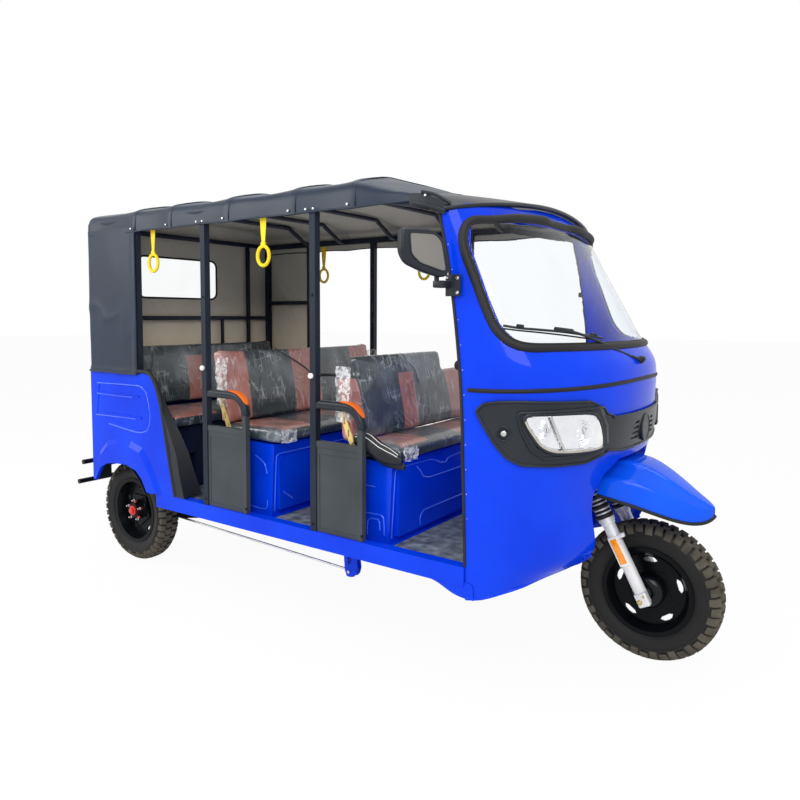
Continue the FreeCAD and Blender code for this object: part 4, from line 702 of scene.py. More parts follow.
def swollen(node_name, shrink, cap, voxel=0.0115):
    """A pad that starts from its solid, a little smaller, and is blown up against its seams"""
    made = NODES[node_name].copy()
    made.data = NODES[node_name].data.copy()
    for key in list(made.keys()):
        del made[key]
    bpy.context.scene.collection.objects.link(made)
    made.parent = None
    alone(made)
    made.hide_render = False
    bpy.ops.object.mode_set(mode="EDIT")
    bpy.ops.mesh.select_all(action="SELECT")
    bpy.ops.mesh.remove_doubles(threshold=0.0001)
    bpy.ops.mesh.dissolve_limited(angle_limit=math.radians(2))
    bpy.ops.object.mode_set(mode="OBJECT")
    modified(made, "BEVEL", width=0.012, segments=2, limit_method="ANGLE")
    extent = [(min(vertex.co[axis] for vertex in made.data.vertices), max(vertex.co[axis] for vertex in made.data.vertices))
              for axis in range(3)]
    centre = sum((vertex.co for vertex in made.data.vertices), Vector()) / len(made.data.vertices)
    for vertex in made.data.vertices:
        away = vertex.co - centre
        vertex.co -= Vector((math.copysign(min(shrink, abs(away.x)), away.x) if abs(away.x) > 0.004 else 0,
                             math.copysign(shrink, away.y), math.copysign(min(shrink, abs(away.z)), away.z) * 0.5))
    modified(made, "REMESH", mode="VOXEL", voxel_size=voxel, use_smooth_shade=True)
    before = [vertex.co.copy() for vertex in made.data.vertices]
    alone(made)
    cloth = made.modifiers.new("swell", "CLOTH")
    cloth.settings.use_pressure = True
    cloth.settings.uniform_pressure_force = 4
    cloth.settings.effector_weights.gravity = 0
    cloth.settings.quality = 4
    cloth.collision_settings.use_collision = False
    for step in range(1, 21):
        bpy.context.scene.frame_set(step)
    bpy.ops.object.modifier_apply(modifier="swell")
    bpy.context.scene.frame_set(1)
    for vertex, start in zip(made.data.vertices, before):
        moved = vertex.co - start
        if moved.length > cap:
            vertex.co = start + moved * (cap / moved.length)
    for axis, margin in ((1, 0.004), (2, 0.0)):
        low, high = (pick(vertex.co[axis] for vertex in made.data.vertices) for pick in (min, max))
        sunk = 0.006 if axis == 2 and "backrest" in node_name else 0
        wanted = extent[axis][0] + margin - sunk, extent[axis][1] - margin
        for vertex in made.data.vertices:
            vertex.co[axis] = wanted[0] + (vertex.co[axis] - low) * (wanted[1] - wanted[0]) / (high - low)
    modified(made, "SUBSURF", levels=1, render_levels=1)
    return made


def wrinkled(piece, amount, stretch, seed):
    """Thin creases, as clear film makes when it is pulled over a pad"""
    normals = [vertex.normal.copy() for vertex in piece.data.vertices]
    sx, sy, sz = stretch
    for vertex, normal in zip(piece.data.vertices, normals):
        c = vertex.co
        warp = noise.noise(c * 6 + Vector((0, 0, seed)))
        ridge = noise.noise(Vector((c.x * sx + warp * 2.2, c.y * sy + warp * 2.2, c.z * sz + warp * 2 + seed)))
        patch = eased(noise.noise(c * 5 + Vector((0, 0, seed * 3))) * 1.8 + 0.6)
        broad = noise.noise(c * 9 + Vector((seed, 0, 0)))
        vertex.co = c + normal * (amount * (max(0, 1 - abs(ridge) * 5.5) ** 2 * patch + 0.5 * broad))
    return piece


def seats():
    for node_name, finish, stretch, seed in (
            ("front_cushion", "front cushion cover", (26, 20, 14), 3), ("middle_cushion", "middle cushion cover", (26, 20, 14), 7),
            ("rear_cushion", "rear cushion cover", (26, 20, 14), 11), ("front_backrest", "front back cover", (14, 22, 9), 15),
            ("middle_backrest", "middle back cover", (14, 20, 9), 19), ("rear_backrest", "rear back cover", (14, 20, 9), 23)):
        made = swollen(node_name, 0.006, 0.009)
        wrinkled(made, 0.0022 if "backrest" in node_name else 0.0018, stretch, seed)
        smooth(made, 60)
        given(made, node_name.replace("backrest", "back_pad").replace("cushion", "seat_pad"), "chassis", "seat_vinyl",
              finish)
        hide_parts(node_name)


def compared(tree, source, operation, value):
    """A mask from comparing a value with a number"""
    made = node(tree, "ShaderNodeMath", operation=operation)
    tree.links.new(source, made.inputs[0])
    made.inputs[1].default_value = value
    return made.outputs[0]


def product(tree, first, second):
    made = node(tree, "ShaderNodeMath", operation="MULTIPLY")
    tree.links.new(first, made.inputs[0])
    tree.links.new(second, made.inputs[1])
    return made.outputs[0]


def blended(tree, mask, first, second):
    """One colour where the mask is nought, the other where it is one"""
    made = node(tree, "ShaderNodeMix", data_type="RGBA")
    tree.links.new(mask, made.inputs["Factor"])
    for name, colour in (("A", first), ("B", second)):
        if isinstance(colour, tuple):
            made.inputs[name].default_value = (*colour, 1)
        else:
            tree.links.new(colour, made.inputs[name])
    return made.outputs["Result"]


def painted_crease_glints(tree, place, stretch, turn, scale, width, glint_strength):
    """Painted highlights: thin bright lines where stretched noise crosses its middle, standing in for glints off the
    film's creases
    """
    pulled = node(tree, "ShaderNodeMapping", {"Vector": place})
    pulled.inputs["Scale"].default_value = stretch
    pulled.inputs["Rotation"].default_value = turn
    field = node(tree, "ShaderNodeTexNoise", {"Vector": pulled.outputs["Vector"]}, Scale=scale, Detail=1.0, Distortion=0.15)
    patches = node(tree, "ShaderNodeTexNoise", {"Vector": place}, Scale=11.0, Detail=2.0)
    grey = (glint_strength,) * 3
    line = ramp(tree, field.outputs["Fac"], [(0.5 - width, (0, 0, 0)), (0.5, grey), (0.5 + width, (0, 0, 0))])
    return product(tree, line, ramp(tree, patches.outputs["Fac"], [(0.46, (0, 0, 0)), (0.60, (1, 1, 1))]))


def banded_cover(name, bands, above=None, below=None):
    """Vinyl in bands of red-brown and black across the seat, under clear film: its pale creases are painted highlights,
    and its haze is partly the film's milkiness, partly painted reflection
    """
    made, tree, principled, place = shader(name)
    split = node(tree, "ShaderNodeSeparateXYZ", {"Vector": place})
    share = node(tree, "ShaderNodeMapRange", {"Value": split.outputs["Y"]})
    share.inputs["From Min"].default_value = -0.62
    share.inputs["From Max"].default_value = 0.62
    stops = tree.nodes.new("ShaderNodeValToRGB")
    stops.color_ramp.interpolation = "CONSTANT"
    tree.links.new(share.outputs["Result"], stops.inputs["Fac"])
    elements = stops.color_ramp.elements
    while len(elements) < len(bands):
        elements.new(0.5)
    for element, (start, red) in zip(elements, bands):
        element.position = max(0, (start + 0.62) / 1.24)
        element.color = (red, red, red, 1)
    mask = stops.outputs["Color"]
    if above:
        mask = product(tree, mask, compared(tree, split.outputs["Z"], "LESS_THAN", above))
    if below:
        mask = product(tree, mask, compared(tree, split.outputs["Z"], "GREATER_THAN", below))
    surface = grained(tree, place, 12, 700, 0.4)
    black = ramp(tree, surface.outputs["Patches"], [(0.3, (0.026, 0.038, 0.045)), (0.7, (0.050, 0.066, 0.075))])
    red = ramp(tree, surface.outputs["Patches"], [(0.3, (0.33, 0.115, 0.090)), (0.7, (0.45, 0.175, 0.14))])
    colour = blended(tree, mask, black, red)
    # partly the film's own milkiness, partly painted reflection: pale bluish-grey patches over the vinyl
    haze = node(tree, "ShaderNodeTexNoise", {"Vector": place}, Scale=5.0, Detail=4.0)
    milkiness_and_painted_reflection = ramp(tree, haze.outputs["Fac"], [(0.50, (0, 0, 0)), (0.72, (0.35, 0.35, 0.35))])
    colour = blended(tree, milkiness_and_painted_reflection, colour, (0.42, 0.46, 0.50))
    # painted highlights: pale crease lines stand in for glints off the film's wrinkles
    for stretch, turn, scale, width, glint_strength in (
            ((1, 2.2, 0.35), (0.35, 0, 0.3), 9.0, 0.020, 0.34), ((1, 2.0, 0.30), (-0.5, 0, -0.4), 10.0, 0.016, 0.30),
            ((1, 0.5, 2.0), (0.2, 0, 0.7), 7.0, 0.014, 0.22)):
        mask = painted_crease_glints(tree, place, stretch, turn, scale, width, glint_strength)
        colour = blended(tree, mask, colour, (0.78, 0.82, 0.86))
    tree.links.new(colour, principled.inputs["Base Color"])
    rough = node(tree, "ShaderNodeMapRange", {"Value": surface.outputs["Patches"]})
    rough.inputs["To Min"].default_value = 0.22
    rough.inputs["To Max"].default_value = 0.42
    tree.links.new(rough.outputs["Result"], principled.inputs["Roughness"])
    bump = node(tree, "ShaderNodeBump", {"Height": surface.outputs["Height"]}, Strength=0.2, Distance=0.002)
    tree.links.new(bump.outputs["Normal"], principled.inputs["Normal"])
    principled.inputs["Coat Weight"].default_value = 0.7
    principled.inputs["Coat Roughness"].default_value = 0.10
    return made


def bunched_film(name):
    """Thin clear wrap: nearly white where it gathers, see-through between"""
    made, tree, principled, place = shader(name)
    principled.inputs["Base Color"].default_value = (0.90, 0.92, 0.94, 1)
    principled.inputs["Roughness"].default_value = 0.18
    principled.inputs["Specular IOR Level"].default_value = 0.6
    field = node(tree, "ShaderNodeTexNoise", {"Vector": place}, Scale=26.0, Detail=2.0, Distortion=0.4)
    alpha = ramp(tree, field.outputs["Fac"], [(0.40, (0.14,) * 3), (0.5, (0.70,) * 3), (0.60, (0.18,) * 3)])
    tree.links.new(alpha, principled.inputs["Alpha"])
    return made


def painted_shade_lining(name):
    """Cream lining with painted shade: it greys towards the roof, where the roof's shade falls"""
    made, tree, principled, place = shader(name)
    surface = grained(tree, place, 4, 900, 0.6)
    low = ramp(tree, surface.outputs["Patches"], [(0.3, (0.84, 0.72, 0.55)), (0.7, (0.92, 0.81, 0.64))])
    # painted shade: the grey tone high up stands in for the roof's shade on the lining
    high = ramp(tree, surface.outputs["Patches"], [(0.3, (0.44, 0.43, 0.37)), (0.7, (0.52, 0.50, 0.44))])
    split = node(tree, "ShaderNodeSeparateXYZ", {"Vector": place})
    rise = node(tree, "ShaderNodeMapRange", {"Value": split.outputs["Z"]})
    rise.inputs["From Min"].default_value = 1.16
    rise.inputs["From Max"].default_value = 1.42
    tree.links.new(blended(tree, rise.outputs["Result"], low, high), principled.inputs["Base Color"])
    principled.inputs["Roughness"].default_value = 0.8
    principled.inputs["Specular IOR Level"].default_value = 0.2
    bump = node(tree, "ShaderNodeBump", {"Height": surface.outputs["Height"]}, Strength=0.2, Distance=0.0004)
    tree.links.new(bump.outputs["Normal"], principled.inputs["Normal"])
    return made


FRONT_BANDS = [(-0.62, 1), (-0.52, 0), (-0.238, 1), (-0.13, 0), (0.152, 1)]
MIDDLE_BANDS = [(-0.62, 1), (-0.415, 0), (-0.11, 1), (0.09, 0), (0.376, 1)]
REAR_BANDS = [(-0.62, 0), (-0.144, 1), (-0.016, 0)]
CUSHION_BANDS = [(-0.62, 0), (-0.53, 1), (-0.33, 0), (-0.10, 1), (0.10, 0), (0.33, 1), (0.53, 0)]
REAR_CUSHION_BANDS = [(-0.62, 1), (-0.30, 0), (0.30, 1)]
for cover, bands, limits in (
        ("front back", FRONT_BANDS, {"above": 1.072}), ("middle back", MIDDLE_BANDS, {}),
        ("rear back", REAR_BANDS, {"above": 1.085}), ("front cushion", CUSHION_BANDS, {"below": 0.812}),
        ("middle cushion", CUSHION_BANDS, {"below": 0.812}), ("rear cushion", REAR_CUSHION_BANDS, {"below": 0.806})):
    FINISH[f"{cover} cover"] = banded_cover(f"{cover} cover", bands, **limits)
FINISH["wrap"] = bunched_film("bunched clear wrap")
FINISH["lining_with_painted_shade"] = painted_shade_lining("cream lining with painted roof shade")

tyres()

roof = given(canopy(), "canvas_canopy", "chassis", "canvas", "canvas", "lining_with_painted_shade")
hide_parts("canopy_roof")
sides = given(curtain(), "canvas_curtain", "chassis", "canvas", "canvas", "lining_with_painted_shade")
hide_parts("rear_curtain")
edging = tube(rounded_frame((-0.349, 1.417), (0.207, 1.651), 0.042, at(2.7425)), 0.006, cyclic=True)
given(smooth(edging), "window_edging", "chassis", "rubber", "rubber")
canopy_seams()
curtain_hem()
seats()


# Places on the cab's own surface

def seen_surface(node_name):
    """A tree of a CAD node's faces, to find places on it"""
    mesh = NODES[node_name].data
    return BVHTree.FromPolygons([vertex.co for vertex in mesh.vertices], [face.vertices for face in mesh.polygons])


CAB = seen_surface("cab_shell")
MASK = seen_surface("front_mask")
LAMPS = seen_surface("headlamps")


def on_cab(degrees, z, lift=0.0, surface=CAB):
    """The place on the cab in one direction from its middle, seen from above, with its outward direction"""
    turn = math.radians(degrees)
    away = Vector((math.cos(turn), math.sin(turn), 0))
    middle = Vector((at(0.50), 0, z))
    place, normal, index, distance = surface.ray_cast(middle + away * 2, -away)
    if place is None:
        return None, away
    if normal.dot(away) < 0:
        normal = -normal
    return place + normal * lift, normal


def cab_line(heights, lift=0.0, surface=CAB):
    """Places round the cab for a list of (degrees, height)"""
    places = [on_cab(degrees, z, lift, surface)[0] for degrees, z in heights]
    return [place for place in places if place is not None]


def flush(place, normal, radius, depth, vertices=20, bevel=0.0006):
    """A small round head that lies on a surface"""
    return disc(place, normal, radius, depth, vertices, bevel, 1)


# Cab trim

def belt_moulding():
    """Rubber strip round the cab at the belt"""
    line = [(degrees, 1.068 + 0.022 * math.cos(math.radians(degrees)) ** 2) for degrees in range(-92, 93, 4)]
    strips = [tube(cab_line([(d, z + rise) for d, z in line], 0.001), radius, sides=2, smooth_path=True)
              for rise, radius in ((0, 0.0048), (0.0045, 0.0028), (-0.0045, 0.0028))]
    given(smooth(joined(strips), 50), "belt_moulding", "chassis", "rubber", "rubber")


DOOR_EDGE = [(0.450, 0.455), (0.600, 0.460), (0.700, 0.463), (0.800, 0.467), (0.900, 0.470), (1.000, 0.474), (1.095, 0.480),
             (1.230, 0.494), (1.350, 0.509), (1.470, 0.527), (1.600, 0.554), (1.700, 0.577)]


def door_seals():
    """Edge strip down either side of the cab's doorway, with a row of rivets beside it"""
    strips = []
    rivets = []
    for side in (-1, 1):
        line = [(at(back + 0.0055), side * 0.6405, z) for z, back in DOOR_EDGE]
        strips.append(tube(line, 0.0058, sides=2, smooth_path=True))
        inner = [(x - 0.004, y - side * 0.014, z) for x, y, z in line]
        strips.append(tube(inner, 0.004, sides=1, smooth_path=True))
        for step in range(12):
            z = 0.62 + 0.086 * step
            low, high = [pair for pair in zip(DOOR_EDGE, DOOR_EDGE[1:]) if pair[0][0] <= z <= pair[1][0]][0]
            share = (z - low[0]) / (high[0] - low[0])
            back = low[1] + (high[1] - low[1]) * share
            rivets.append(flush((at(back - 0.006), side * 0.6405, z), (0, side, 0), 0.0020, 0.0022, 10))
    given(smooth(joined(strips), 50), "door_edge_strips", "chassis", "rubber", "rubber")
    given(smooth(joined(rivets), 50), "door_edge_rivets", "chassis", "steel", "steel")


def lower_rim():
    """Rolled rim along the cab's lower edge"""
    rims = []
    for side in (-1, 1):
        points = []
        for step in range(19):
            degrees = side * (86 - 3.6 * step)
            z = 0.330
            while z < 0.470 and on_cab(degrees, z + 0.004)[0] is None:
                z += 0.003
            place, normal = on_cab(degrees, z + 0.004)
            if place is not None and AXLE_X - place.x > 0.10:
                points.append(Vector((place.x, place.y, z + 0.003)) + normal * 0.0005)
        rims.append(tube(points, 0.0058, sides=3, smooth_path=True))
    given(smooth(joined(rims), 50), "cab_lower_rim", "chassis", "blue_paint", "blue")


def wiper():
    """Arm on its pivot with a jointed blade that lies on the glass"""
    surfaces = [seen_surface(name) for name in ("windscreen_glass", "windscreen_seal", "cab_shell")]

    def on_glass(y, z, lift):
        hits = [each.ray_cast(Vector((at(-0.3), y, z)), Vector((-1, 0, 0))) for each in surfaces]
        place, normal = max([hit[:2] for hit in hits if hit[0] is not None], key=lambda hit: hit[0].x)
        return place + normal * math.copysign(lift, normal.x)
    pivot = Vector((at(0.052), -0.042, 1.158))
    knee = Vector((at(0.075), -0.115, 1.178))
    tip = on_glass(-0.406, 1.257, 0.030)
    ends = [on_glass(-0.600, 1.282, 0.012), on_glass(-0.254, 1.237, 0.012)]
    middle = on_glass(-0.425, 1.262, 0.020)
    pieces = [tube([pivot + Vector((0.012, 0, 0)), knee, knee.lerp(tip, 0.5) + Vector((0.004, 0, 0.003)), tip, middle],
                   0.0050, sides=2, smooth_path=True),
              disc(pivot, (1, 0, 0.4), 0.014, 0.030, 24, 0.002), disc(pivot, (1, 0, 0.4), 0.0085, 0.044, 20, 0.002)]
    spine = [on_glass(-0.600 + 0.346 * k / 10, 1.282 - 0.045 * k / 10, 0.013 + 0.004 * math.sin(math.pi * k / 10))
             for k in range(11)]
    pieces.append(tube(spine, 0.0042, sides=2, smooth_path=True))
    wiping = [on_glass(-0.600 + 0.346 * k / 10, 1.276 - 0.045 * k / 10, 0.006) for k in range(11)]
    pieces.append(tube(wiping, 0.0032, sides=1, smooth_path=True))
    for share, long in ((0.5, 0.036), (0.12, 0.012), (0.88, 0.012)):
        centre = ends[0].lerp(ends[1], share)
        centre = on_glass(centre.y, centre.z, 0.016)
        run = (ends[1] - ends[0]).normalized() * long
        pieces.append(tube([centre - run, centre, centre + run], 0.0085 if share == 0.5 else 0.0062, sides=2,
                           smooth_path=True))
    made = given(smooth(joined(pieces), 50), "wiper_blade_and_arm", "chassis", "steel", "plastic")
    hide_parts("wiper")


# Lamps

LENS_TOP = [(40.1, 0.8935), (41.2, 0.935), (42.5, 0.966), (44.3, 0.982), (47.0, 0.989), (53.8, 0.990), (66.9, 0.989),
            (67.8, 0.984), (68.1, 0.9745)]
LENS_LOW = [(40.1, 0.8925), (40.4, 0.874), (41.8, 0.865), (51.5, 0.865), (56.6, 0.867), (59.5, 0.870), (62.4, 0.882),
            (64.3, 0.902), (65.9, 0.929), (67.5, 0.956), (68.1, 0.9735)]
LENS_REACH = [(39, 0.5435), (42, 0.5545), (45, 0.569), (48, 0.5805), (54, 0.602), (60, 0.623), (66, 0.642), (69, 0.650)]
LENS_SHARES = (0, 0.03, 0.10, 0.22, 0.36, 0.50, 0.64, 0.78, 0.90, 0.97, 1)


def lens_place(degrees, z, side, depth=0.0):
    """A place on the lamp's face, by its direction seen from above, moved inwards by a depth"""
    reach = read(LENS_REACH, degrees)[0] - 0.002 * (0.98 - z) / 0.11 - depth
    turn = math.radians(degrees)
    return at(0.50) + reach * math.cos(turn), side * reach * math.sin(turn), z


def lens_face(side, depth, edge_depth):
    """The lamp's face: its middle at one depth, its outermost line and its end over the mask at another"""
    rows = []
    for step in range(41):
        degrees = 54.1 - 14.0 * math.cos(math.pi * step / 40)
        low, high = read(LENS_LOW, degrees)[0], read(LENS_TOP, degrees)[0]
        row = []
        for share in LENS_SHARES:
            inside = 0 if share in (0, 1) or step == 40 else eased((degrees - 42.0) / 4.0)
            inward = edge_depth + (depth - edge_depth) * inside
            row.append(lens_place(degrees, low + (high - low) * share, side, inward))
        rows.append(row)
    return surface(rows)


def rim_loop(piece, apart=0.006):
    """Places round an open piece's longest edge, in order and at least so far apart"""
    work = bmesh.new()
    work.from_mesh(piece.data)
    loops, seen = [], set()
    for first in [edge for edge in work.edges if edge.is_boundary]:
        if first in seen:
            continue
        loop, vertex, edge = [], first.verts[0], first
        while edge is not None and edge not in seen:
            seen.add(edge)
            loop.append(vertex.co.copy())
            vertex = edge.other_vert(vertex)
            edge = next((each for each in vertex.link_edges if each.is_boundary and each not in seen), None)
        loops.append(loop)
    work.free()
    kept = []
    for place in max(loops, key=len):
        if not kept or (place - kept[-1]).length > apart:
            kept.append(place)
    return kept


def headlamps():
    """Clear lens over a chrome pan with two bowls and the slanted divider between them"""
    for side, name in ((-1, "right"), (1, "left")):
        lens = lens_face(side, 0.0, 0.0)
        modified(lens, "SOLIDIFY", thickness=0.0012, offset=-1)
        given(smooth(lens, 50), f"lamp_lens_{name}", "chassis", "lamp", "lens")
        lip = [lens_place(degrees, z, side, -0.001) for degrees, z in reversed(LENS_LOW[1:])]
        lips = tube(lip, 0.0042, sides=3, smooth_path=True, resolution=5)
        given(smooth(lips, 60), f"lamp_lip_{name}", "chassis", "lamp", "lip")
        outline = LENS_TOP[1:-1] + list(reversed(LENS_LOW[1:]))
        border = []
        for degrees, z in outline:
            away = Vector(((degrees - 54.1) / 14.0, (z - 0.9275) / 0.0625)).normalized()
            border.append(lens_place(degrees + away.x * 0.6, z + away.y * 0.0055, side, 0.0070))
        bezel = tube(border, 0.0085, cyclic=True, sides=4, smooth_path=True, resolution=5)
        given(smooth(bezel, 60), f"lamp_bezel_{name}", "chassis", "black_plastic", "plastic")
        pan = lens_face(side, 0.014, 0.0018)
        modified(pan, "SOLIDIFY", thickness=0.003, offset=-1)
        bowls = [pan]
        for degrees, z, radius in ((63.5, 0.943, 0.030), (50.5, 0.926, 0.046)):
            turn = math.radians(degrees)
            out = Vector((math.cos(turn), side * math.sin(turn), 0))
            place = Vector(lens_place(degrees, z, side, 0.012))
            for ring in (1.0, 0.86, 0.68, 0.46):
                bowls.append(torus_at(place, out, radius * ring, 0.0024))
            bowls.append(disc(place + out * 0.001, out, radius * 0.26, 0.008, 24, 0.003, 3))
        given(smooth(joined(bowls), 50), f"lamp_reflector_{name}", "chassis", "lamp", "chrome")
        bar = tube([lens_place(degrees, z, side, 0.001) for degrees, z in ((60.7, 0.988), (58.6, 0.930), (55.8, 0.869))],
                   0.0055, sides=2, smooth_path=True)
        given(smooth(bar, 50), f"lamp_divider_{name}", "chassis", "lamp", "steel")
    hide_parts("headlamps")


def torus_at(centre, axis, major, minor, sides=8, steps=36):
    bpy.ops.object.select_all(action="DESELECT")
    turn = Vector(axis).to_track_quat("Z", "Y").to_euler()
    bpy.ops.mesh.primitive_torus_add(major_radius=major, minor_radius=minor, major_segments=steps, minor_segments=sides,
                                     location=centre, rotation=turn)
    return settled(bpy.context.object)


def mask_details():
    """Round lamps in the mask's end recesses with their rims, and the blank disc's rim"""
    lamps, rims = [], []
    for side in (-1, 1):
        place, normal, index, distance = MASK.ray_cast(Vector((at(0.330), side * 1.2, 0.928)), Vector((0, -side, 0)))
        normal = normal if normal.y * side > 0 else -normal
        rims.append(torus_at(place + normal * 0.0055, normal, 0.0235, 0.0030))
        lamps.append(disc(place + normal * 0.002, normal, 0.010, 0.006, 24, 0.002))
        rims.append(torus_at(place + normal * 0.002, normal, 0.012, 0.0025))
    rims.append(torus_at((at(0.0345), 0, 0.901), (1, 0, 0), 0.050, 0.0022))
    rims.append(torus_at((at(0.0345), 0, 0.901), (1, 0, 0), 0.040, 0.0012))
    given(smooth(joined(rims), 60), "mask_rims", "chassis", "black_plastic", "plastic")
    given(smooth(joined(lamps), 60), "mask_recess_lamps", "chassis", "lamp", "steel")


def surface(rows, closed=False):
    """A mesh of four-sided faces between rows of places"""
    data = bpy.data.meshes.new("surface")
    wide = len(rows[0])
    places = [place for row in rows for place in row]
    faces = []
    for row in range(len(rows) - 1):
        for step in range(wide if closed else wide - 1):
            a, b = row * wide + step, row * wide + (step + 1) % wide
            faces.append([a, b, b + wide, a + wide])
    data.from_pydata(places, [], faces)
    made = bpy.data.objects.new("surface", data)
    bpy.context.scene.collection.objects.link(made)
    return recalculated(made)


def read(stations, value):
    """The numbers of a list of stations at a value between them"""
    if value <= stations[0][0]:
        return stations[0][1:]
    for low, high in zip(stations, stations[1:]):
        if value <= high[0]:
            share = (value - low[0]) / (high[0] - low[0])
            return [a + (b - a) * share for a, b in zip(low[1:], high[1:])]
    return stations[-1][1:]


def outline_plate(points, inner, outer, bevel=0.004, segments=3):
    """A flat piece with a many-cornered outline: (across, up) places, from one depth to another"""
    rows = [[(depth, y, z) for y, z in points] for depth in (inner, outer)]
    made = surface(rows, closed=True)
    alone(made)
    bpy.ops.object.mode_set(mode="EDIT")
    bpy.ops.mesh.select_all(action="DESELECT")
    bpy.ops.mesh.select_non_manifold()
    bpy.ops.mesh.edge_face_add()
    bpy.ops.object.mode_set(mode="OBJECT")
    recalculated(made)
    return modified(made, "BEVEL", width=bevel, segments=segments, limit_method="ANGLE")


def rounded(points, reach=0.010, steps=4):
    """An outline with its corners rounded off"""
    made = []
    for index, corner in enumerate(points):
        corner = Vector(corner)
        before = Vector(points[index - 1])
        after = Vector(points[(index + 1) % len(points)])
        start = corner + (before - corner).normalized() * min(reach, (before - corner).length * 0.45)
        end = corner + (after - corner).normalized() * min(reach, (after - corner).length * 0.45)
        for step in range(steps + 1):
            share = step / steps
            made.append(tuple(start.lerp(corner, share).lerp(corner.lerp(end, share), share)))
    return made


MIRROR_OUTLINE = [(-0.086, 0.074), (0.030, 0.077), (0.080, 0.048), (0.102, -0.070), (0.078, -0.083), (0.010, -0.068),
                  (-0.066, -0.040), (-0.088, -0.004)]
MIRROR_INSET = [(-0.058, 0.060), (0.040, 0.061), (0.068, 0.038), (0.087, -0.058), (0.074, -0.062), (-0.018, -0.038),
                (-0.052, -0.010)]


def mirror_pieces():
    """Tapered housings with an inset panel ahead and a glass face behind, arms, clamps and bolts"""
    toe = math.radians(-24)
    turn = Matrix.Translation((at(0.560), -0.775, 1.531)) @ Matrix.Rotation(toe, 4, "Z")
    for side, name in ((-1, "right"), (1, "left")):
        over = Matrix.Scale(-side, 4, (0, 1, 0))
        shell = [outline_plate(rounded(MIRROR_OUTLINE, 0.020), -0.0200, 0.0160, 0.010, 4),
                 tube([(0.0165, y, z) for y, z in rounded(MIRROR_INSET, 0.014)], 0.0030, cyclic=True, sides=2)]
        for each in shell:
            each.data.transform(over @ turn)
        arm = tube([(at(0.551), -0.697, 1.466), (at(0.551), -0.696, 1.428)], 0.0085, sides=3)
        plate = block((at(0.540), -0.6580, 1.388), (at(0.481), -0.6505, 1.462), 0.002)
        ear = block((at(0.562), -0.7060, 1.416), (at(0.520), -0.6540, 1.440), 0.004)
        for each in (arm, plate, ear):
            each.data.transform(over)
            shell.append(each)
        whole = joined(shell)
        given(smooth(recalculated(whole), 40), f"mirror_housing_{name}", "chassis", "black_plastic", "plastic")
        panel = outline_plate(rounded(MIRROR_INSET, 0.014), 0.0150, 0.0172, 0.0006, 1)
        panel.data.transform(over @ turn)
        given(smooth(recalculated(panel), 40), f"mirror_panel_{name}", "chassis", "glass", "smoked")
        face = outline_plate(rounded([(y * 0.93, z * 0.92) for y, z in MIRROR_OUTLINE], 0.018), -0.0212, -0.0195, 0.0006, 1)
        face.data.transform(over @ turn)
        given(smooth(recalculated(face), 40), f"mirror_glass_{name}", "chassis", "glass", "chrome")
        bolts = [flush((at(back), side * 0.6590, z), (0, side, 0), 0.0066, 0.005, 6, 0.0012)
                 for back, z in ((0.492, 1.400), (0.492, 1.449), (0.534, 1.449))]
        given(smooth(joined(bolts), 50), f"mirror_bolts_{name}", "chassis", "steel", "steel")
    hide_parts("mirrors")


def skin_edge(node_name, threshold):
    """The outline of a node's outward faces, as places in order"""
    work = bmesh.new()
    work.from_mesh(NODES[node_name].data)
    drop = []
    for face in work.faces:
        centre = face.calc_center_median()
        away = Vector((centre.x - at(0.62), centre.y, 0)).normalized()
        if face.normal.dot(away) <= threshold:
            drop.append(face)
    bmesh.ops.delete(work, geom=drop, context="FACES")
    bmesh.ops.remove_doubles(work, verts=work.verts, dist=0.0002)
    data = bpy.data.meshes.new("edge")
    work.to_mesh(data)
    work.free()
    made = bpy.data.objects.new("edge", data)
    places = rim_loop(made, 0.014)
    bpy.data.objects.remove(made)
    return places


def mask_edge():
    """Rounded bead round the mask's outline"""
    bead_painted_highlight = tube(skin_edge("front_mask", 0.45), 0.0050, cyclic=True, sides=3, smooth_path=True, resolution=4)
    given(smooth(bead_painted_highlight, 60), "mask_bead", "chassis", "black_plastic", "plastic")


# Peak over the windscreen and the rubber round it

PEAK = [(0, 0.424, 1.752), (0.150, 0.427, 1.748), (0.300, 0.436, 1.736), (0.450, 0.458, 1.720), (0.550, 0.488, 1.707),
        (0.615, 0.520, 1.697), (0.648, 0.560, 1.690)]


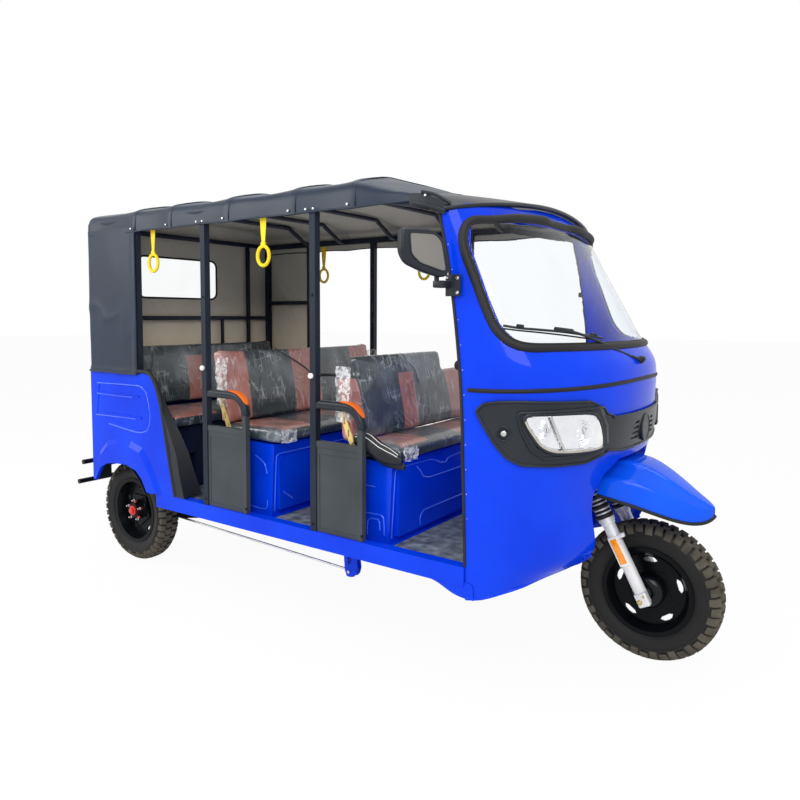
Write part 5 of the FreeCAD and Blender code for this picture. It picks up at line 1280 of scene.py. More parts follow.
def peak():
    """Dark plastic peak from the canopy's front edge to its rolled lip"""
    columns = [-0.648, -0.615, -0.550, -0.450, -0.300, -0.150, 0, 0.150, 0.300, 0.450, 0.550, 0.615, 0.648]
    rows, lip = [[] for step in range(5)], []
    for y in columns:
        back, z = read(PEAK, abs(y))
        rear = (0.632, 1.776 - 0.044 * (abs(y) / 0.648) ** 4)
        for share, row in zip((0, 0.04, 0.3, 0.65, 1), rows):
            crown = 0.006 * math.sin(math.pi * share)
            row.append((at(back + (rear[0] - back) * share), y, z + 0.005 + (rear[1] - z) * share + crown))
        lip.append((at(back - 0.004), y, z - 0.001))
    sheet = surface(rows)
    modified(sheet, "SUBSURF", levels=3, render_levels=3)
    for vertex in sheet.data.vertices:
        below = CAB.ray_cast(Vector((vertex.co.x, vertex.co.y, 2.0)), Vector((0, 0, -1)))[0]
        if below is not None and below.z > 1.60:
            vertex.co.z = max(vertex.co.z, below.z + 0.0065)
    modified(sheet, "SMOOTH", factor=0.5, iterations=2)
    modified(sheet, "SOLIDIFY", thickness=0.006, offset=0)
    rolled = tube(lip, 0.0085, sides=4, smooth_path=True, resolution=6)
    under = tube([(x - 0.012, y, z - 0.004) for x, y, z in lip], 0.0045, sides=2, smooth_path=True, resolution=6)
    made = given(smooth(joined([sheet, rolled, under]), 50), "windscreen_peak", "chassis", "black_plastic", "plastic")
    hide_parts("visor")
    screws = []
    for degrees in (-84, -74, -55, -34, -12, 12, 34, 55, 74, 84):
        place, normal = on_cab(degrees, 1.700 if abs(degrees) < 60 else 1.672)
        if place is not None:
            screws.append(flush(place + normal * 0.001, normal, 0.0042, 0.003, 12))
    given(smooth(joined(screws), 50), "peak_screws", "chassis", "steel", "steel")


SCREEN_SIDE = [(0.243, 1.226), (0.268, 1.2275), (0.294, 1.232), (0.323, 1.246), (0.349, 1.271), (0.369, 1.298),
               (0.406, 1.381), (0.438, 1.464), (0.460, 1.512), (0.476, 1.558), (0.484, 1.600), (0.484, 1.632),
               (0.468, 1.645)]
SCREEN_TOP = [(0.396, 1.680), (0.422, 1.656), (0.460, 1.6465)]


def screen_outline():
    """Places round the windscreen on the cab's surface, each with its outward direction"""
    surfaces = [seen_surface(name) for name in ("windscreen_glass", "windscreen_seal", "cab_shell")]

    def hit(start, away):
        hits = [each.ray_cast(Vector(start), Vector(away)) for each in surfaces]
        hits = [found[:2] for found in hits if found[0] is not None]
        place, normal = min(hits, key=lambda found: (found[0] - Vector(start)).length)
        return place, (normal if normal.dot(Vector(away)) < 0 else -normal)
    side = [hit((at(back), -1.5, z), (0, 1, 0)) for back, z in SCREEN_SIDE]
    bottom = []
    reach = abs(side[0][0].y)
    for step in range(1, 12):
        bottom.append(hit((at(-0.5), reach - 2 * reach * step / 12, 1.226), (-1, 0, 0)))
    top = []
    reach = abs(side[-1][0].y)
    for step in range(1, 14):
        y = -reach + 2 * reach * step / 14
        z = 1.660
        for guess in range(6):
            place, normal = hit((at(-0.5), y, z), (-1, 0, 0))
            z = read(SCREEN_TOP, AXLE_X - place.x)[0]
        top.append((place, normal))
    other = [(Vector((p.x, -p.y, p.z)), Vector((n.x, -n.y, n.z))) for p, n in reversed(side)]
    return side + top + other + bottom


def screen_rubber():
    """Rounded rubber profile round the windscreen with a thin lip on the glass"""
    line = screen_outline()
    middle = sum((place for place, normal in line), Vector()) / len(line)
    bands = {0.0135: [], 0.001: []}
    for index, (place, normal) in enumerate(line):
        along_line = (line[(index + 1) % len(line)][0] - line[index - 1][0]).normalized()
        away = normal.cross(along_line).normalized()
        if away.dot(place - middle) < 0:
            away = -away
        bands[0.0135].append(place + away * 0.0125 - normal * 0.0060)
        bands[0.001].append(place - away * 0.0015 - normal * 0.0005)
    pieces = [tube(bands[0.0135], 0.0150, cyclic=True, sides=5, smooth_path=True, resolution=5),
              tube(bands[0.001], 0.0042, cyclic=True, sides=3, smooth_path=True, resolution=5)]
    made = given(smooth(joined(pieces), 50), "windscreen_rubber", "chassis", "rubber", "rubber")
    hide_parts("windscreen_seal")


# Front fender, fork and wheels

FENDER = [(-0.150, 0.200, 0.777, 0.120, 0.655), (-0.080, 0.196, 0.783, 0.120, 0.643), (-0.020, 0.184, 0.776, 0.120, 0.630),
          (0.050, 0.156, 0.741, 0.103, 0.606), (0.110, 0.122, 0.702, 0.079, 0.584), (0.160, 0.088, 0.667, 0.052, 0.572),
          (0.195, 0.058, 0.646, 0.036, 0.573), (0.213, 0.033, 0.634, 0.026, 0.580), (0.221, 0.012, 0.627, 0.018, 0.588)]
FENDER_ACROSS = [(0, 0), (0.36, 0.02), (0.42, 0.035), (0.445, 0.05), (0.465, 0.12), (0.49, 0.16), (0.70, 0.30), (0.89, 0.44),
                 (0.93, 0.47), (0.965, 0.56), (1, 1)]


def sky_lit_fender_blue():
    """Long peaked fender with a raised middle, creased shoulders and a rubber edge"""
    rows, rim = [], []
    for ahead, half, top, fall, edge in FENDER:
        right = [(at(-ahead), -half * across, top - fall * down) for across, down in FENDER_ACROSS]
        right.append((at(-ahead), -half, (top - fall + edge) / 2))
        right.append((at(-ahead), -half, edge))
        left = [(x, -y, z) for x, y, z in right]
        rows.append(right[::-1] + left[1:])
        rim.append(right[-1])
    made = surface(rows)
    if made.data.polygons[len(made.data.polygons) // 2].normal.z < 0:
        made.data.flip_normals()
    modified(made, "SUBSURF", levels=2, render_levels=2)
    modified(made, "SOLIDIFY", thickness=0.003, offset=-1)
    # the fender's lighter blue is painted sky light
    given(smooth(made, 50), "peaked_fender", "fork", "blue_paint", "sky_lit_fender_blue")
    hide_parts("front_fender")
    line = [Vector(place) for place in rim] + [Vector((at(-0.223), 0, 0.590))]
    line += [Vector((place[0], -place[1], place[2])) for place in reversed(rim)]
    edge = tube([place + Vector((0, math.copysign(0.001, place.y), 0.002)) for place in line], 0.0062, sides=3,
                smooth_path=True, resolution=6)
    given(smooth(edge, 50), "fender_edging", "fork", "rubber", "rubber")


RAKE = math.radians(28)
UP_FORK = Vector((-math.sin(RAKE), 0, math.cos(RAKE)))
AHEAD_FORK = Vector((math.cos(RAKE), 0, math.sin(RAKE)))


def on_leg(distance, side, ahead=0.0, out=0.0):
    """A place by a fork leg: so far up it from the axle, ahead of it and out from it"""
    return Vector((AXLE_X, side * (0.098 + out), 0.270)) + UP_FORK * distance + AHEAD_FORK * ahead


def leg_block(side, low, high, bevel=0.002):
    """A box in a fork leg's own directions: (up, out, ahead) at two corners"""
    made = block((low[2], low[1], low[0]), (high[2], high[1], high[0]), bevel)
    turn = Matrix((AHEAD_FORK, Vector((0, side, 0)), UP_FORK)).transposed().to_4x4()
    made.data.transform(Matrix.Translation((AXLE_X, side * 0.098, 0.270)) @ turn)
    if turn.determinant() < 0:
        made.data.flip_normals()
    return made


def fork_details():
    for side, name in ((-1, "right"), (1, "left")):
        coils = []
        for step in range(8):
            radius = 0.0300 if step % 2 == 0 else 0.0255
            coils.append(torus_at(on_leg(0.323 + 0.019 * step, side), UP_FORK, radius - 0.002, 0.0092, 10, 32))
        coils.append(disc(on_leg(0.309, side), UP_FORK, 0.0300, 0.014, 32, 0.003))
        given(smooth(joined(coils), 50), f"fork_coils_{name}", "fork", "rubber", "rubber")
        metal = [disc(on_leg(0.296, side), UP_FORK, 0.0275, 0.016, 32, 0.003, 3),
                 disc(on_leg(0.236, side), UP_FORK, 0.0262, 0.022, 32, 0.003, 3),
                 leg_block(side, (0.228, 0.005, 0.010), (0.244, 0.022, 0.046), 0.003),
                 leg_block(side, (-0.034, -0.004, -0.022), (0.020, 0.026, 0.024), 0.006),
                 leg_block(side, (0.205, 0.018, -0.012), (0.226, 0.030, 0.020), 0.003)]
        given(smooth(joined(metal), 50), f"fork_clamps_{name}", "fork", "fork_silver", "silver")
        frame_piece = leg_block(side, (0.126, 0.0205, -0.0205), (0.242, 0.0275, 0.0205), 0.003)
        given(smooth(frame_piece, 50), f"reflector_frame_{name}", "fork", "fork_silver", "white")
        shine = leg_block(side, (0.136, 0.0265, -0.0130), (0.232, 0.0315, 0.0130), 0.002)
        given(smooth(shine, 50), f"reflector_{name}", "fork", "lamp", "amber")
        bolts = [disc(on_leg(-0.012, side, -0.010, 0.029), (0, side, 0), 0.0075, 0.008, 6, 0.0012, 1),
                 disc(on_leg(-0.012, side, -0.010, 0.026), (0, side, 0), 0.0105, 0.002, 24, 0.0005, 1),
                 disc(on_leg(0.004, side, 0.014, 0.028), (0, side, 0), 0.0045, 0.005, 12, 0.0012, 1)]
        given(smooth(joined(bolts), 40), f"fork_bolts_{name}", "fork", "steel", "brass")
        spacers = [disc((AXLE_X, side * (0.066 - 0.0062 * step), 0.270), (0, 1, 0), 0.0195 if step % 2 else 0.017, 0.0058,
                        32, 0.0012, 1) for step in range(4)]
        given(smooth(joined(spacers), 40), f"axle_spacer_{name}", "fork", "steel", "plastic")


def hub_face(node_name, side, radius):
    """How far out a wheel's disc lies at one radius"""
    low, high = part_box(node_name)
    middle = (low + high) / 2
    tree = seen_surface(node_name)
    place, normal, index, distance = tree.ray_cast(Vector((middle.x + radius, middle.y + side, middle.z)),
                                                   Vector((0, -side, 0)))
    return middle, (place.y if place is not None else middle.y)


def rear_hubs():
    for side, name in ((-1, "right"), (1, "left")):
        middle, face = hub_face(f"rear_{name}_rim", side, 0.047)
        out = Vector((0, side, 0))
        centre = Vector((middle.x, face, middle.z))
        body = [disc(centre + out * 0.004, out, 0.040, 0.010, 40, 0.002), disc(centre + out * 0.018, out, 0.026, 0.030, 36, 0.004, 3),
                disc(centre + out * 0.036, out, 0.017, 0.010, 32, 0.003, 3)]
        for step in range(5):
            turn = math.radians(90 + 72 * step)
            reach = Vector((math.cos(turn), 0, math.sin(turn)))
            body.append(tube([centre + out * 0.012 + reach * 0.022, centre + out * 0.007 + reach * 0.054], 0.0085, sides=3))
        given(smooth(joined(body), 40), f"rear_hub_{name}", f"rear_{name}_wheel", "red_lamp", "red")
        nuts = []
        for step in range(5):
            turn = math.radians(90 + 72 * step)
            place = centre + Vector((math.cos(turn), 0, math.sin(turn))) * 0.053
            nuts.append(disc(place + out * 0.014, out, 0.0085, 0.012, 6, 0.0015, 1))
            nuts.append(disc(place + out * 0.024, out, 0.0045, 0.014, 12, 0.0012, 1))
        given(smooth(joined(nuts), 40), f"rear_hub_nuts_{name}", f"rear_{name}_wheel", "steel", "steel")


def front_hub():
    for side in (-1, 1):
        middle, face = hub_face("front_rim", side, 0.060)
        out = Vector((0, side, 0))
        name = "right" if side < 0 else "left"
        bolts = []
        for step in range(5):
            turn = math.radians(54 + 72 * step)
            place = Vector((middle.x, 0, middle.z)) + Vector((math.cos(turn), 0, math.sin(turn))) * 0.058
            tree = seen_surface("front_rim")
            hit = tree.ray_cast(place + out, -out)[0]
            if hit is not None:
                bolts.append(disc(hit + out * 0.003, out, 0.0075, 0.008, 6, 0.0012, 1))
        profile = [(middle.x, side * y, middle.z + radius) for radius, y in (
            (0.064, 0.036), (0.061, 0.045), (0.052, 0.054), (0.040, 0.058), (0.029, 0.059), (0.0265, 0.055), (0.0265, 0.040))]
        bolts.append(turned(profile, (middle.x, 0, middle.z), (0, 1, 0), 48))
        given(smooth(joined(bolts), 40), f"front_hub_dome_{name}", "front_wheel", "rim_black", "black")


# Cab lower corner

def sill_fairings():
    """Blue pressing that carries the cab's lower rim up to the sill"""
    for side, name in ((-1, "right"), (1, "left")):
        low = [(0.425, 0.334), (0.470, 0.334), (0.505, 0.340), (0.535, 0.352), (0.565, 0.366), (0.600, 0.376), (0.660, 0.380)]
        rows = []
        for out, lift in ((0.6415, 0.060), (0.6430, 0.030), (0.6430, 0.008), (0.6405, 0.000), (0.6320, -0.001)):
            rows.append([(at(back), side * out, min(z + lift, 0.446) if lift > 0.05 else z + lift) for back, z in low])
        made = surface(rows)
        modified(made, "SUBSURF", levels=2, render_levels=2)
        modified(made, "SOLIDIFY", thickness=0.0025, offset=0)
        given(smooth(made, 50), f"sill_fairing_{name}", "chassis", "blue_paint", "blue")


# Cabin: armrests, straps, mats, trims

def ribbon(points, across, width, thickness=0.0016, lift=None):
    """Flat webbing along points, with its width in one direction"""
    half = Vector(across).normalized() * width / 2
    made = surface([[Vector(point) - half for point in points], [Vector(point) + half for point in points]])
    modified(made, "SUBSURF", levels=1, render_levels=1)
    modified(made, "SOLIDIFY", thickness=thickness, offset=0)
    return made


def swept(line, half_width, half_height, side, notch=0.0):
    """A rounded bar along places in an upright plane: each has its back, height and upward direction"""
    section = [(-1.0, -0.45), (-0.80, -0.85), (-0.4, -1.0), (0.4, -1.0), (0.80, -0.85), (1.0, -0.45), (1 - notch, -0.05),
               (1.0, 0.30), (0.80, 0.80), (0.4, 1.0), (-0.4, 1.0), (-0.80, 0.80), (-1.0, 0.30), (notch - 1, -0.05)]
    rows = []
    for back, z, up_back, up_z, scale in line:
        rows.append([(at(back + up_back * high * half_height * scale), side * 0.629 + wide * half_width * scale,
                      z + up_z * high * half_height * scale) for wide, high in section])
    body = surface(rows, closed=True)
    alone(body)
    bpy.ops.object.mode_set(mode="EDIT")
    bpy.ops.mesh.select_all(action="DESELECT")
    bpy.ops.mesh.select_non_manifold()
    bpy.ops.mesh.edge_face_add()
    bpy.ops.object.mode_set(mode="OBJECT")
    return body


def arm_pads():
    """Padded armrests: rubber pads with a groove along each side, bent down at their front ends"""
    for side, name in ((-1, "right"), (1, "left")):
        pads = []
        for post, centre_back in ((1.8058, 1.6497), (1.1438, 1.0047)):
            line = [(post, 0.965, 0, 1, 0.80), (post - 0.004, 0.965, 0, 1, 0.94)]
            line += [(post + (centre_back - post) * share, 0.965, 0, 1, 1) for share in (0.1, 0.4, 0.7, 1.0)]
            for step in range(1, 9):
                turn = math.radians(90 - 10.8 * step)
                line.append((centre_back - 0.0810 * math.cos(turn), 0.884 + 0.0810 * math.sin(turn), -math.cos(turn),
                             math.sin(turn), 1))
            line += [(centre_back - 0.0810, 0.886, -1, 0, 0.95), (centre_back - 0.0810, 0.880, -1, 0, 0.82)]
            pads.append(swept(line, 0.0200, 0.0180, side, 0.16))
        made = joined(pads)
        modified(made, "SUBSURF", levels=1, render_levels=1)
        given(smooth(recalculated(made), 50), f"arm_pads_{name}", "chassis", "pad", "plastic")
    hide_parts("armrest_pads")


def arm_tops():
    """Orange foam set into the top of each armrest pad, over its bend"""
    for side, name in ((-1, "right"), (1, "left")):
        tops = []
        for centre_back in (1.6497, 1.0047):
            rows = []
            line = [(centre_back + 0.030, 0.9826), (centre_back + 0.010, 0.9834)]
            for step in range(0, 8):
                turn = math.radians(90 - 9.0 * step)
                line.append((centre_back - 0.0996 * math.cos(turn), 0.884 + 0.0996 * math.sin(turn)))
            count = len(line)
            widths = [0.004, 0.012] + [0.0150] * (count - 4) + [0.012, 0.005]
            for across in (-1, -0.55, 0, 0.55, 1):
                crown = 0.0016 * (1 - abs(across) ** 2)
                rows.append([(at(back) + crown * (centre_back - back) / 0.11, side * 0.629 + width * across,
                              z + crown) for (back, z), width in zip(line, widths)])
            sheet = surface(rows)
            modified(sheet, "SUBSURF", levels=2, render_levels=2)
            modified(sheet, "SOLIDIFY", thickness=0.004, offset=0)
            tops.append(sheet)
        given(smooth(joined(tops), 60), f"armrest_tops_{name}", "chassis", "pad", "orange")


STRAP_PLACES = [(2.215, -1), (2.215, 1), (1.460, -1), (1.460, 1)]


def straps():
    """Hanging grips: webbing folded over the rail, gathered into a thick ring"""
    made = []
    for back, side in STRAP_PLACES:
        y = side * 0.6215
        top = 1.754
        for lean in (-1, 1):
            made.append(ribbon([(at(back + lean * 0.012), y + lean * 0.0022, top),
                                (at(back + lean * 0.010), y + lean * 0.0026, top - 0.045),
                                (at(back + lean * 0.005), y + lean * 0.0030, top - 0.100),
                                (at(back + lean * 0.002), y + lean * 0.0032, top - 0.138)], (1, 0, 0), 0.021, 0.0018))
        made.append(block((at(back) - 0.0125, y - 0.0055, top - 0.148), (at(back) + 0.0125, y + 0.0055, top - 0.126), 0.003))
        ring = [(at(back) + 0.0345 * math.cos(turn), y, top - 0.184 + 0.041 * math.sin(turn))
                for turn in [2 * math.pi * step / 24 for step in range(24)]]
        made.append(tube(ring, 0.0078, cyclic=True, sides=3, smooth_path=True))
    whole = given(smooth(joined(made), 50), "hanging_grips", "chassis", "strap", "yellow")
    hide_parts("grab_straps")


def floor_mats():
    """Thin mottled mats on the floor between the seat boxes"""
    mats = [block((at(far), -0.598, 0.4303), (at(near), 0.598, 0.4335), 0.0012, 1)
            for near, far in ((0.470, 0.818), (1.069, 1.455), (1.829, 2.184))]
    given(smooth(joined(mats), 40), "floor_mats", "chassis", "rubber", "mat")


QUARTER_LINE = [(1.040, 2.330), (1.041, 2.270), (1.036, 2.225), (1.008, 2.196), (0.960, 2.172), (0.900, 2.150), (0.820, 2.124),
                (0.730, 2.104), (0.620, 2.080), (0.540, 2.062), (0.470, 2.046), (0.452, 2.042)]
QUARTER_EDGE = [(2.330, 1.040), (2.270, 1.041), (2.225, 1.038), (2.196, 1.010), (2.172, 0.950), (2.150, 0.890), (2.108, 0.810),
                (2.066, 0.730), (2.036, 0.645), (2.010, 0.560), (1.992, 0.500), (1.978, 0.452)]


def quarter_trims():
    """Broad rubber along each rear quarter's front edge, and the dark jamb panel from it round into the cabin"""
    for side, name in ((-1, "right"), (1, "left")):
        face = seen_surface(f"rear_quarter_{name}")

        def skin(back, z, lift):
            hit = face.ray_cast(Vector((at(back), side * 1.2, z)), Vector((0, -side, 0)))[0]
            reach = abs(hit.y) if hit is not None and abs(hit.y) > 0.63 else 0.6425
            return (at(back), side * (reach + lift), z)
        line = [skin(back, z, 0.0015) for z, back in QUARTER_LINE]
        given(smooth(tube(line, 0.0100, sides=4, smooth_path=True, resolution=5), 50), f"quarter_edging_{name}",
              "chassis", "rubber", "rubber")
        rows = [[], [], [], [], []]
        for back, z in QUARTER_EDGE[3:]:
            behind = max(read(QUARTER_LINE[3:][::-1], z)[0], back + 0.001)
            rows[0].append(skin(behind, z, 0.0040))
            rows[1].append(skin(back + 0.0015, z, 0.0050))
            reach = abs(rows[1][-1][1])
            for row, share in zip(rows[2:], (0, 0.9, 1)):
                row.append((at(back - 0.005 + 0.044 * share), side * (reach - share * (0.045 + 0.16 * (1.010 - z))), z))
        panel = surface(rows)
        modified(panel, "SOLIDIFY", thickness=0.002, offset=0)
        given(smooth(panel, 50), f"door_jamb_{name}", "chassis", "canvas", "plastic")


BEADS = {
    "rear_quarter_left": [
        [(2.680, 0.962), (2.520, 0.966), (2.330, 0.968), (2.290, 0.962), (2.262, 0.938), (2.238, 0.880), (2.230, 0.830),
         (2.236, 0.780), (2.256, 0.748), (2.300, 0.735), (2.350, 0.732), (2.520, 0.748), (2.600, 0.756)],
        [(2.694, 0.793), (2.500, 0.797), (2.297, 0.799)],
        [(2.680, 0.906), (2.500, 0.906), (2.330, 0.906)]],
    "front_seat_box": [
        [(1.000, 0.533), (0.935, 0.538), (0.882, 0.540), (0.872, 0.530), (0.868, 0.490), (0.868, 0.452)],
        [(0.952, 0.450), (0.952, 0.505), (0.940, 0.517), (0.900, 0.520), (0.891, 0.510), (0.889, 0.469)],
        [(0.995, 0.647), (0.950, 0.648), (0.902, 0.648)]],
    "middle_seat_box": [
        [(1.588, 0.692), (1.560, 0.680), (1.531, 0.662), (1.518, 0.640), (1.512, 0.612)],
        [(1.620, 0.458), (1.560, 0.455), (1.524, 0.458), (1.514, 0.470), (1.512, 0.510)]],
}


FRONT_BEADS = {
    "front_seat_box": [
        [(-0.544, 0.450), (-0.541, 0.600), (-0.538, 0.715), (-0.525, 0.727), (-0.400, 0.724), (-0.285, 0.721), (-0.255, 0.714),
         (-0.215, 0.696), (-0.180, 0.694), (-0.130, 0.706), (-0.080, 0.710), (0.080, 0.710), (0.130, 0.706), (0.180, 0.694),
         (0.215, 0.696), (0.255, 0.714), (0.285, 0.721), (0.400, 0.724), (0.525, 0.727), (0.538, 0.715), (0.544, 0.450)],
        [(-0.400, 0.712), (-0.372, 0.690), (-0.350, 0.662), (-0.300, 0.650), (0.300, 0.650), (0.350, 0.662), (0.400, 0.712)],
        [(-0.374, 0.452), (-0.372, 0.500), (-0.352, 0.520), (-0.300, 0.522), (0.300, 0.522), (0.352, 0.520), (0.374, 0.452)]],
    "middle_seat_box": [
        [(-0.544, 0.452), (-0.544, 0.600), (-0.542, 0.698), (-0.528, 0.708), (-0.360, 0.708), (0.360, 0.708), (0.528, 0.708),
         (0.544, 0.698), (0.544, 0.452)],
        [(-0.511, 0.536), (-0.470, 0.506), (-0.445, 0.488)]],
}


def pressed_beads():
    """Fine pressed lines on the rear quarters and on the boxes under the seats, painted a lighter, glossier blue as
    highlights
    """
    for node_name, lines in BEADS.items():
        for side, name in ((-1, "right"), (1, "left")):
            wanted = f"rear_quarter_{name}" if "quarter" in node_name else node_name
            face = seen_surface(wanted)
            beads = []
            for line in lines:
                places = []
                for start, end in zip(line, line[1:]):
                    for share in (0, 0.25, 0.5, 0.75):
                        back, z = [a + (b - a) * share for a, b in zip(start, end)]
                        hit = face.ray_cast(Vector((at(back), side * 1.2, z)), Vector((0, -side, 0)))[0]
                        if hit is not None:
                            places.append(hit)
                beads.append(tube(places, 0.0034, sides=2, smooth_path=True, resolution=2))
            given(smooth(joined(beads), 60), f"{wanted}_beads_{name}", "chassis", "blue_paint", "bead_painted_highlight")
    for node_name, lines in FRONT_BEADS.items():
        face = seen_surface(node_name)
        beads = []
        for line in lines:
            places = []
            for start, end in zip(line, line[1:]):
                for share in (0, 0.25, 0.5, 0.75):
                    y, z = [a + (b - a) * share for a, b in zip(start, end)]
                    hit = face.ray_cast(Vector((at(0.3), y, z)), Vector((-1, 0, 0)))[0]
                    if hit is not None:
                        places.append(hit)
            beads.append(tube(places, 0.0034, sides=2, smooth_path=True, resolution=2))
        given(smooth(joined(beads), 60), f"{node_name}_front_beads", "chassis", "blue_paint", "bead_painted_highlight")


def arch_liners():
    """Dark liner inside each rear wheel arch"""
    for side, name in ((-1, "right"), (1, "left")):
        rows = []
        for y in (0.548, 0.580, 0.612, 0.640):
            row = [(at(2.729), side * y, z) for z in (0.436, 0.470, 0.500)]
            row += [(at(2.565 + 0.306 * math.cos(math.radians(turn))), side * y, 0.270 + 0.306 * math.sin(math.radians(turn)))
                    for turn in range(58, 151, 4)]
            rows.append(row)
        liner = surface(rows)
        modified(liner, "SOLIDIFY", thickness=0.003, offset=0)
        given(smooth(liner, 50), f"arch_liner_{name}", "chassis", "rubber", "plastic")


RAIL_MIDDLE = 1.301


def rear_frame_bars():
    """Frame of the rear wall: three cross bars, two uprights and the short bar below the middle one"""
    low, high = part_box("rear_frame")
    x = (low.x + high.x) / 2
    half = (high.x - low.x) / 2
    top, middle, bottom = high.z - half, RAIL_MIDDLE, low.z + half
    bars = [block((x - half, low.y, z - half), (x + half, high.y, z + half), 0.002) for z in (top, middle, bottom)]
    bars += [block((x - half + 0.002, y - half + 0.002, bottom), (x + half - 0.002, y + half - 0.002, top), 0.002)
             for y in (-0.446, 0.446)]
    bars.append(block((x - half + 0.004, 0.228 - half + 0.004, bottom), (x + half - 0.004, 0.228 + half - 0.004, middle), 0.002))
    made = given(smooth(joined(bars), 40), "rear_wall_bars", "chassis", "frame_paint", "frame")
    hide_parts("rear_frame")


def corner_flaps():
    """Folded black corner where the canopy's front end is screwed down over the cab"""
    for side, name in ((-1, "right"), (1, "left")):
        rows = []
        for out, lift in ((0.6560, 0.0), (0.6585, -0.012), (0.6590, -0.030), (0.6560, -0.046)):
            rows.append([(at(back), side * (out - inward), z + lift)
                         for back, z, inward in ((0.690, 1.752, 0), (0.650, 1.748, 0), (0.612, 1.738, 0.001), (0.575, 1.722, 0.004),
                                                 (0.548, 1.710, 0.010))])
        sheet = surface(rows)
        modified(sheet, "SUBSURF", levels=2, render_levels=2)
        modified(sheet, "SOLIDIFY", thickness=0.005, offset=0)
        rolls = [tube([(at(0.672), side * 0.6570, 1.716), (at(0.630), side * 0.6590, 1.708), (at(0.585), side * 0.6560, 1.692),
                       (at(0.550), side * 0.6460, 1.680)], 0.0080, sides=3, smooth_path=True),
                 tube([(at(0.640), side * 0.6560, 1.752), (at(0.600), side * 0.6550, 1.744), (at(0.560), side * 0.6490, 1.724),
                       (at(0.535), side * 0.6350, 1.706)], 0.0070, sides=3, smooth_path=True)]
        given(smooth(joined([sheet] + rolls), 60), f"canopy_corner_{name}", "chassis", "canvas", "plastic")


def small_metal():
    """Knobs and bolts on the posts, and rivets along the canopy's hem"""
    knobs, bolts, rivets = [], [], []
    for side in (-1, 1):
        for back in (1.827, 1.165):
            knobs.append(disc((at(back + 0.006), side * 0.6480, 1.079), (0, side, 0), 0.0115, 0.017, 24, 0.006, 4))
            knobs.append(disc((at(back + 0.004), side * 0.6385, 1.079), (0, side, 0), 0.0055, 0.010, 16, 0.001, 1))
            bolts.append(disc((at(back), side * 0.6455, 1.401), (0, side, 0), 0.0065, 0.005, 6, 0.0012, 1))
            bolts.append(disc((at(back), side * 0.6455, 0.475), (0, side, 0), 0.0055, 0.004, 6, 0.0010, 1))
            rivets.append(disc((at(back + 0.020), side * 0.6595, 1.736), (0, side, 0), 0.0048, 0.004, 12, 0.0015, 2))
            rivets.append(disc((at(back - 0.020), side * 0.6595, 1.736), (0, side, 0), 0.0048, 0.004, 12, 0.0015, 2))
        for back in (0.9155, 1.5605):
            bolts.append(disc((at(back), side * 0.6425, 0.470), (0, side, 0), 0.0060, 0.005, 6, 0.0012, 1))
        for back in BOWS:
            rivets.append(disc((at(min(back + 0.014, 2.34)), side * 0.6595, 1.738), (0, side, 0), 0.0052, 0.004, 12, 0.0015, 2))
    given(smooth(joined(knobs), 60), "post_knobs", "chassis", "steel", "white")
    given(smooth(joined(bolts), 40), "post_bolts", "chassis", "steel", "black")
    given(smooth(joined(rivets), 60), "canopy_rivets", "chassis", "steel", "steel")


def seat_links():
    """Dark bars from the posts' knobs to the front seat's back, and the strap to the middle one"""
    links = []
    for side in (-1, 1):
        knob = Vector((at(1.176), side * 0.648, 1.080))
        links.append(tube([knob, knob + Vector((0.016, -side * 0.030, 0.002)), (at(1.120), side * 0.600, 1.083),
                           (at(1.074), side * 0.597, 1.084)], 0.0060, smooth_path=True))
    links.append(tube([(at(1.176), -0.648, 1.080), (at(1.205), -0.600, 1.086), (at(1.400), -0.480, 1.115),
                       (at(1.700), -0.300, 1.150), (at(1.770), -0.250, 1.153)], 0.0042, smooth_path=True))
    given(smooth(joined(links), 50), "seat_back_links", "chassis", "frame_paint", "black")


def linkage():
    """Blue pedal bracket, pull rod with its ends and the lever at the axle"""
    y = -0.415
    outline = [(1.190, 0.365), (1.130, 0.365), (1.112, 0.290), (1.105, 0.235), (1.112, 0.210), (1.125, 0.196), (1.145, 0.190),
               (1.165, 0.190), (1.176, 0.215), (1.182, 0.290)]
    faces = []
    for side in (-1, 1):
        rows = [[(at(back + 0.001), y + side * 0.012, z) for back, z in outline],
                [(at(1.150 + (back - 1.150) * 0.90), y + side * 0.015, 0.280 + (z - 0.280) * 0.92) for back, z in outline],
                [(at(1.150 + (back - 1.150) * 0.30), y + side * 0.015, 0.280 + (z - 0.280) * 0.35) for back, z in outline]]
        plate = surface(rows, closed=True)
        modified(plate, "SOLIDIFY", thickness=0.003, offset=0)
        modified(plate, "BEVEL", width=0.0008, segments=1, limit_method="ANGLE")
        faces.append(plate)
    faces.append(block((at(1.190), y - 0.016, 0.350), (at(1.130), -0.305, 0.3654), 0.002))
    given(smooth(joined(faces), 40), "pedal_bracket", "chassis", "blue_paint", "blue")
    rods = [tube([(at(1.150), y, 0.215), (at(1.80), y, 0.2335), (at(2.450), y, 0.252)], 0.0050),
            tube([(at(1.150), y - 0.024, 0.215), (at(1.150), y + 0.024, 0.215)], 0.0065),
            disc((at(1.150), y, 0.215), (0, 1, 0), 0.0130, 0.014, 24, 0.002),
            disc((at(2.445), y, 0.252), (0, 1, 0), 0.0110, 0.016, 24, 0.002)]
    made = given(smooth(joined(rods), 50), "pull_rod", "chassis", "steel", "steel")
    lever = [tube([(at(2.530), y + 0.003, 0.270), (at(2.470), y, 0.254), (at(2.440), y, 0.250)], 0.0085),
             disc((at(2.520), y + 0.010, 0.270), (0, 1, 0), 0.0165, 0.022, 24, 0.003)]
    given(smooth(joined(lever), 50), "brake_lever", "chassis", "frame_paint", "black")
    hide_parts("brake_linkage")


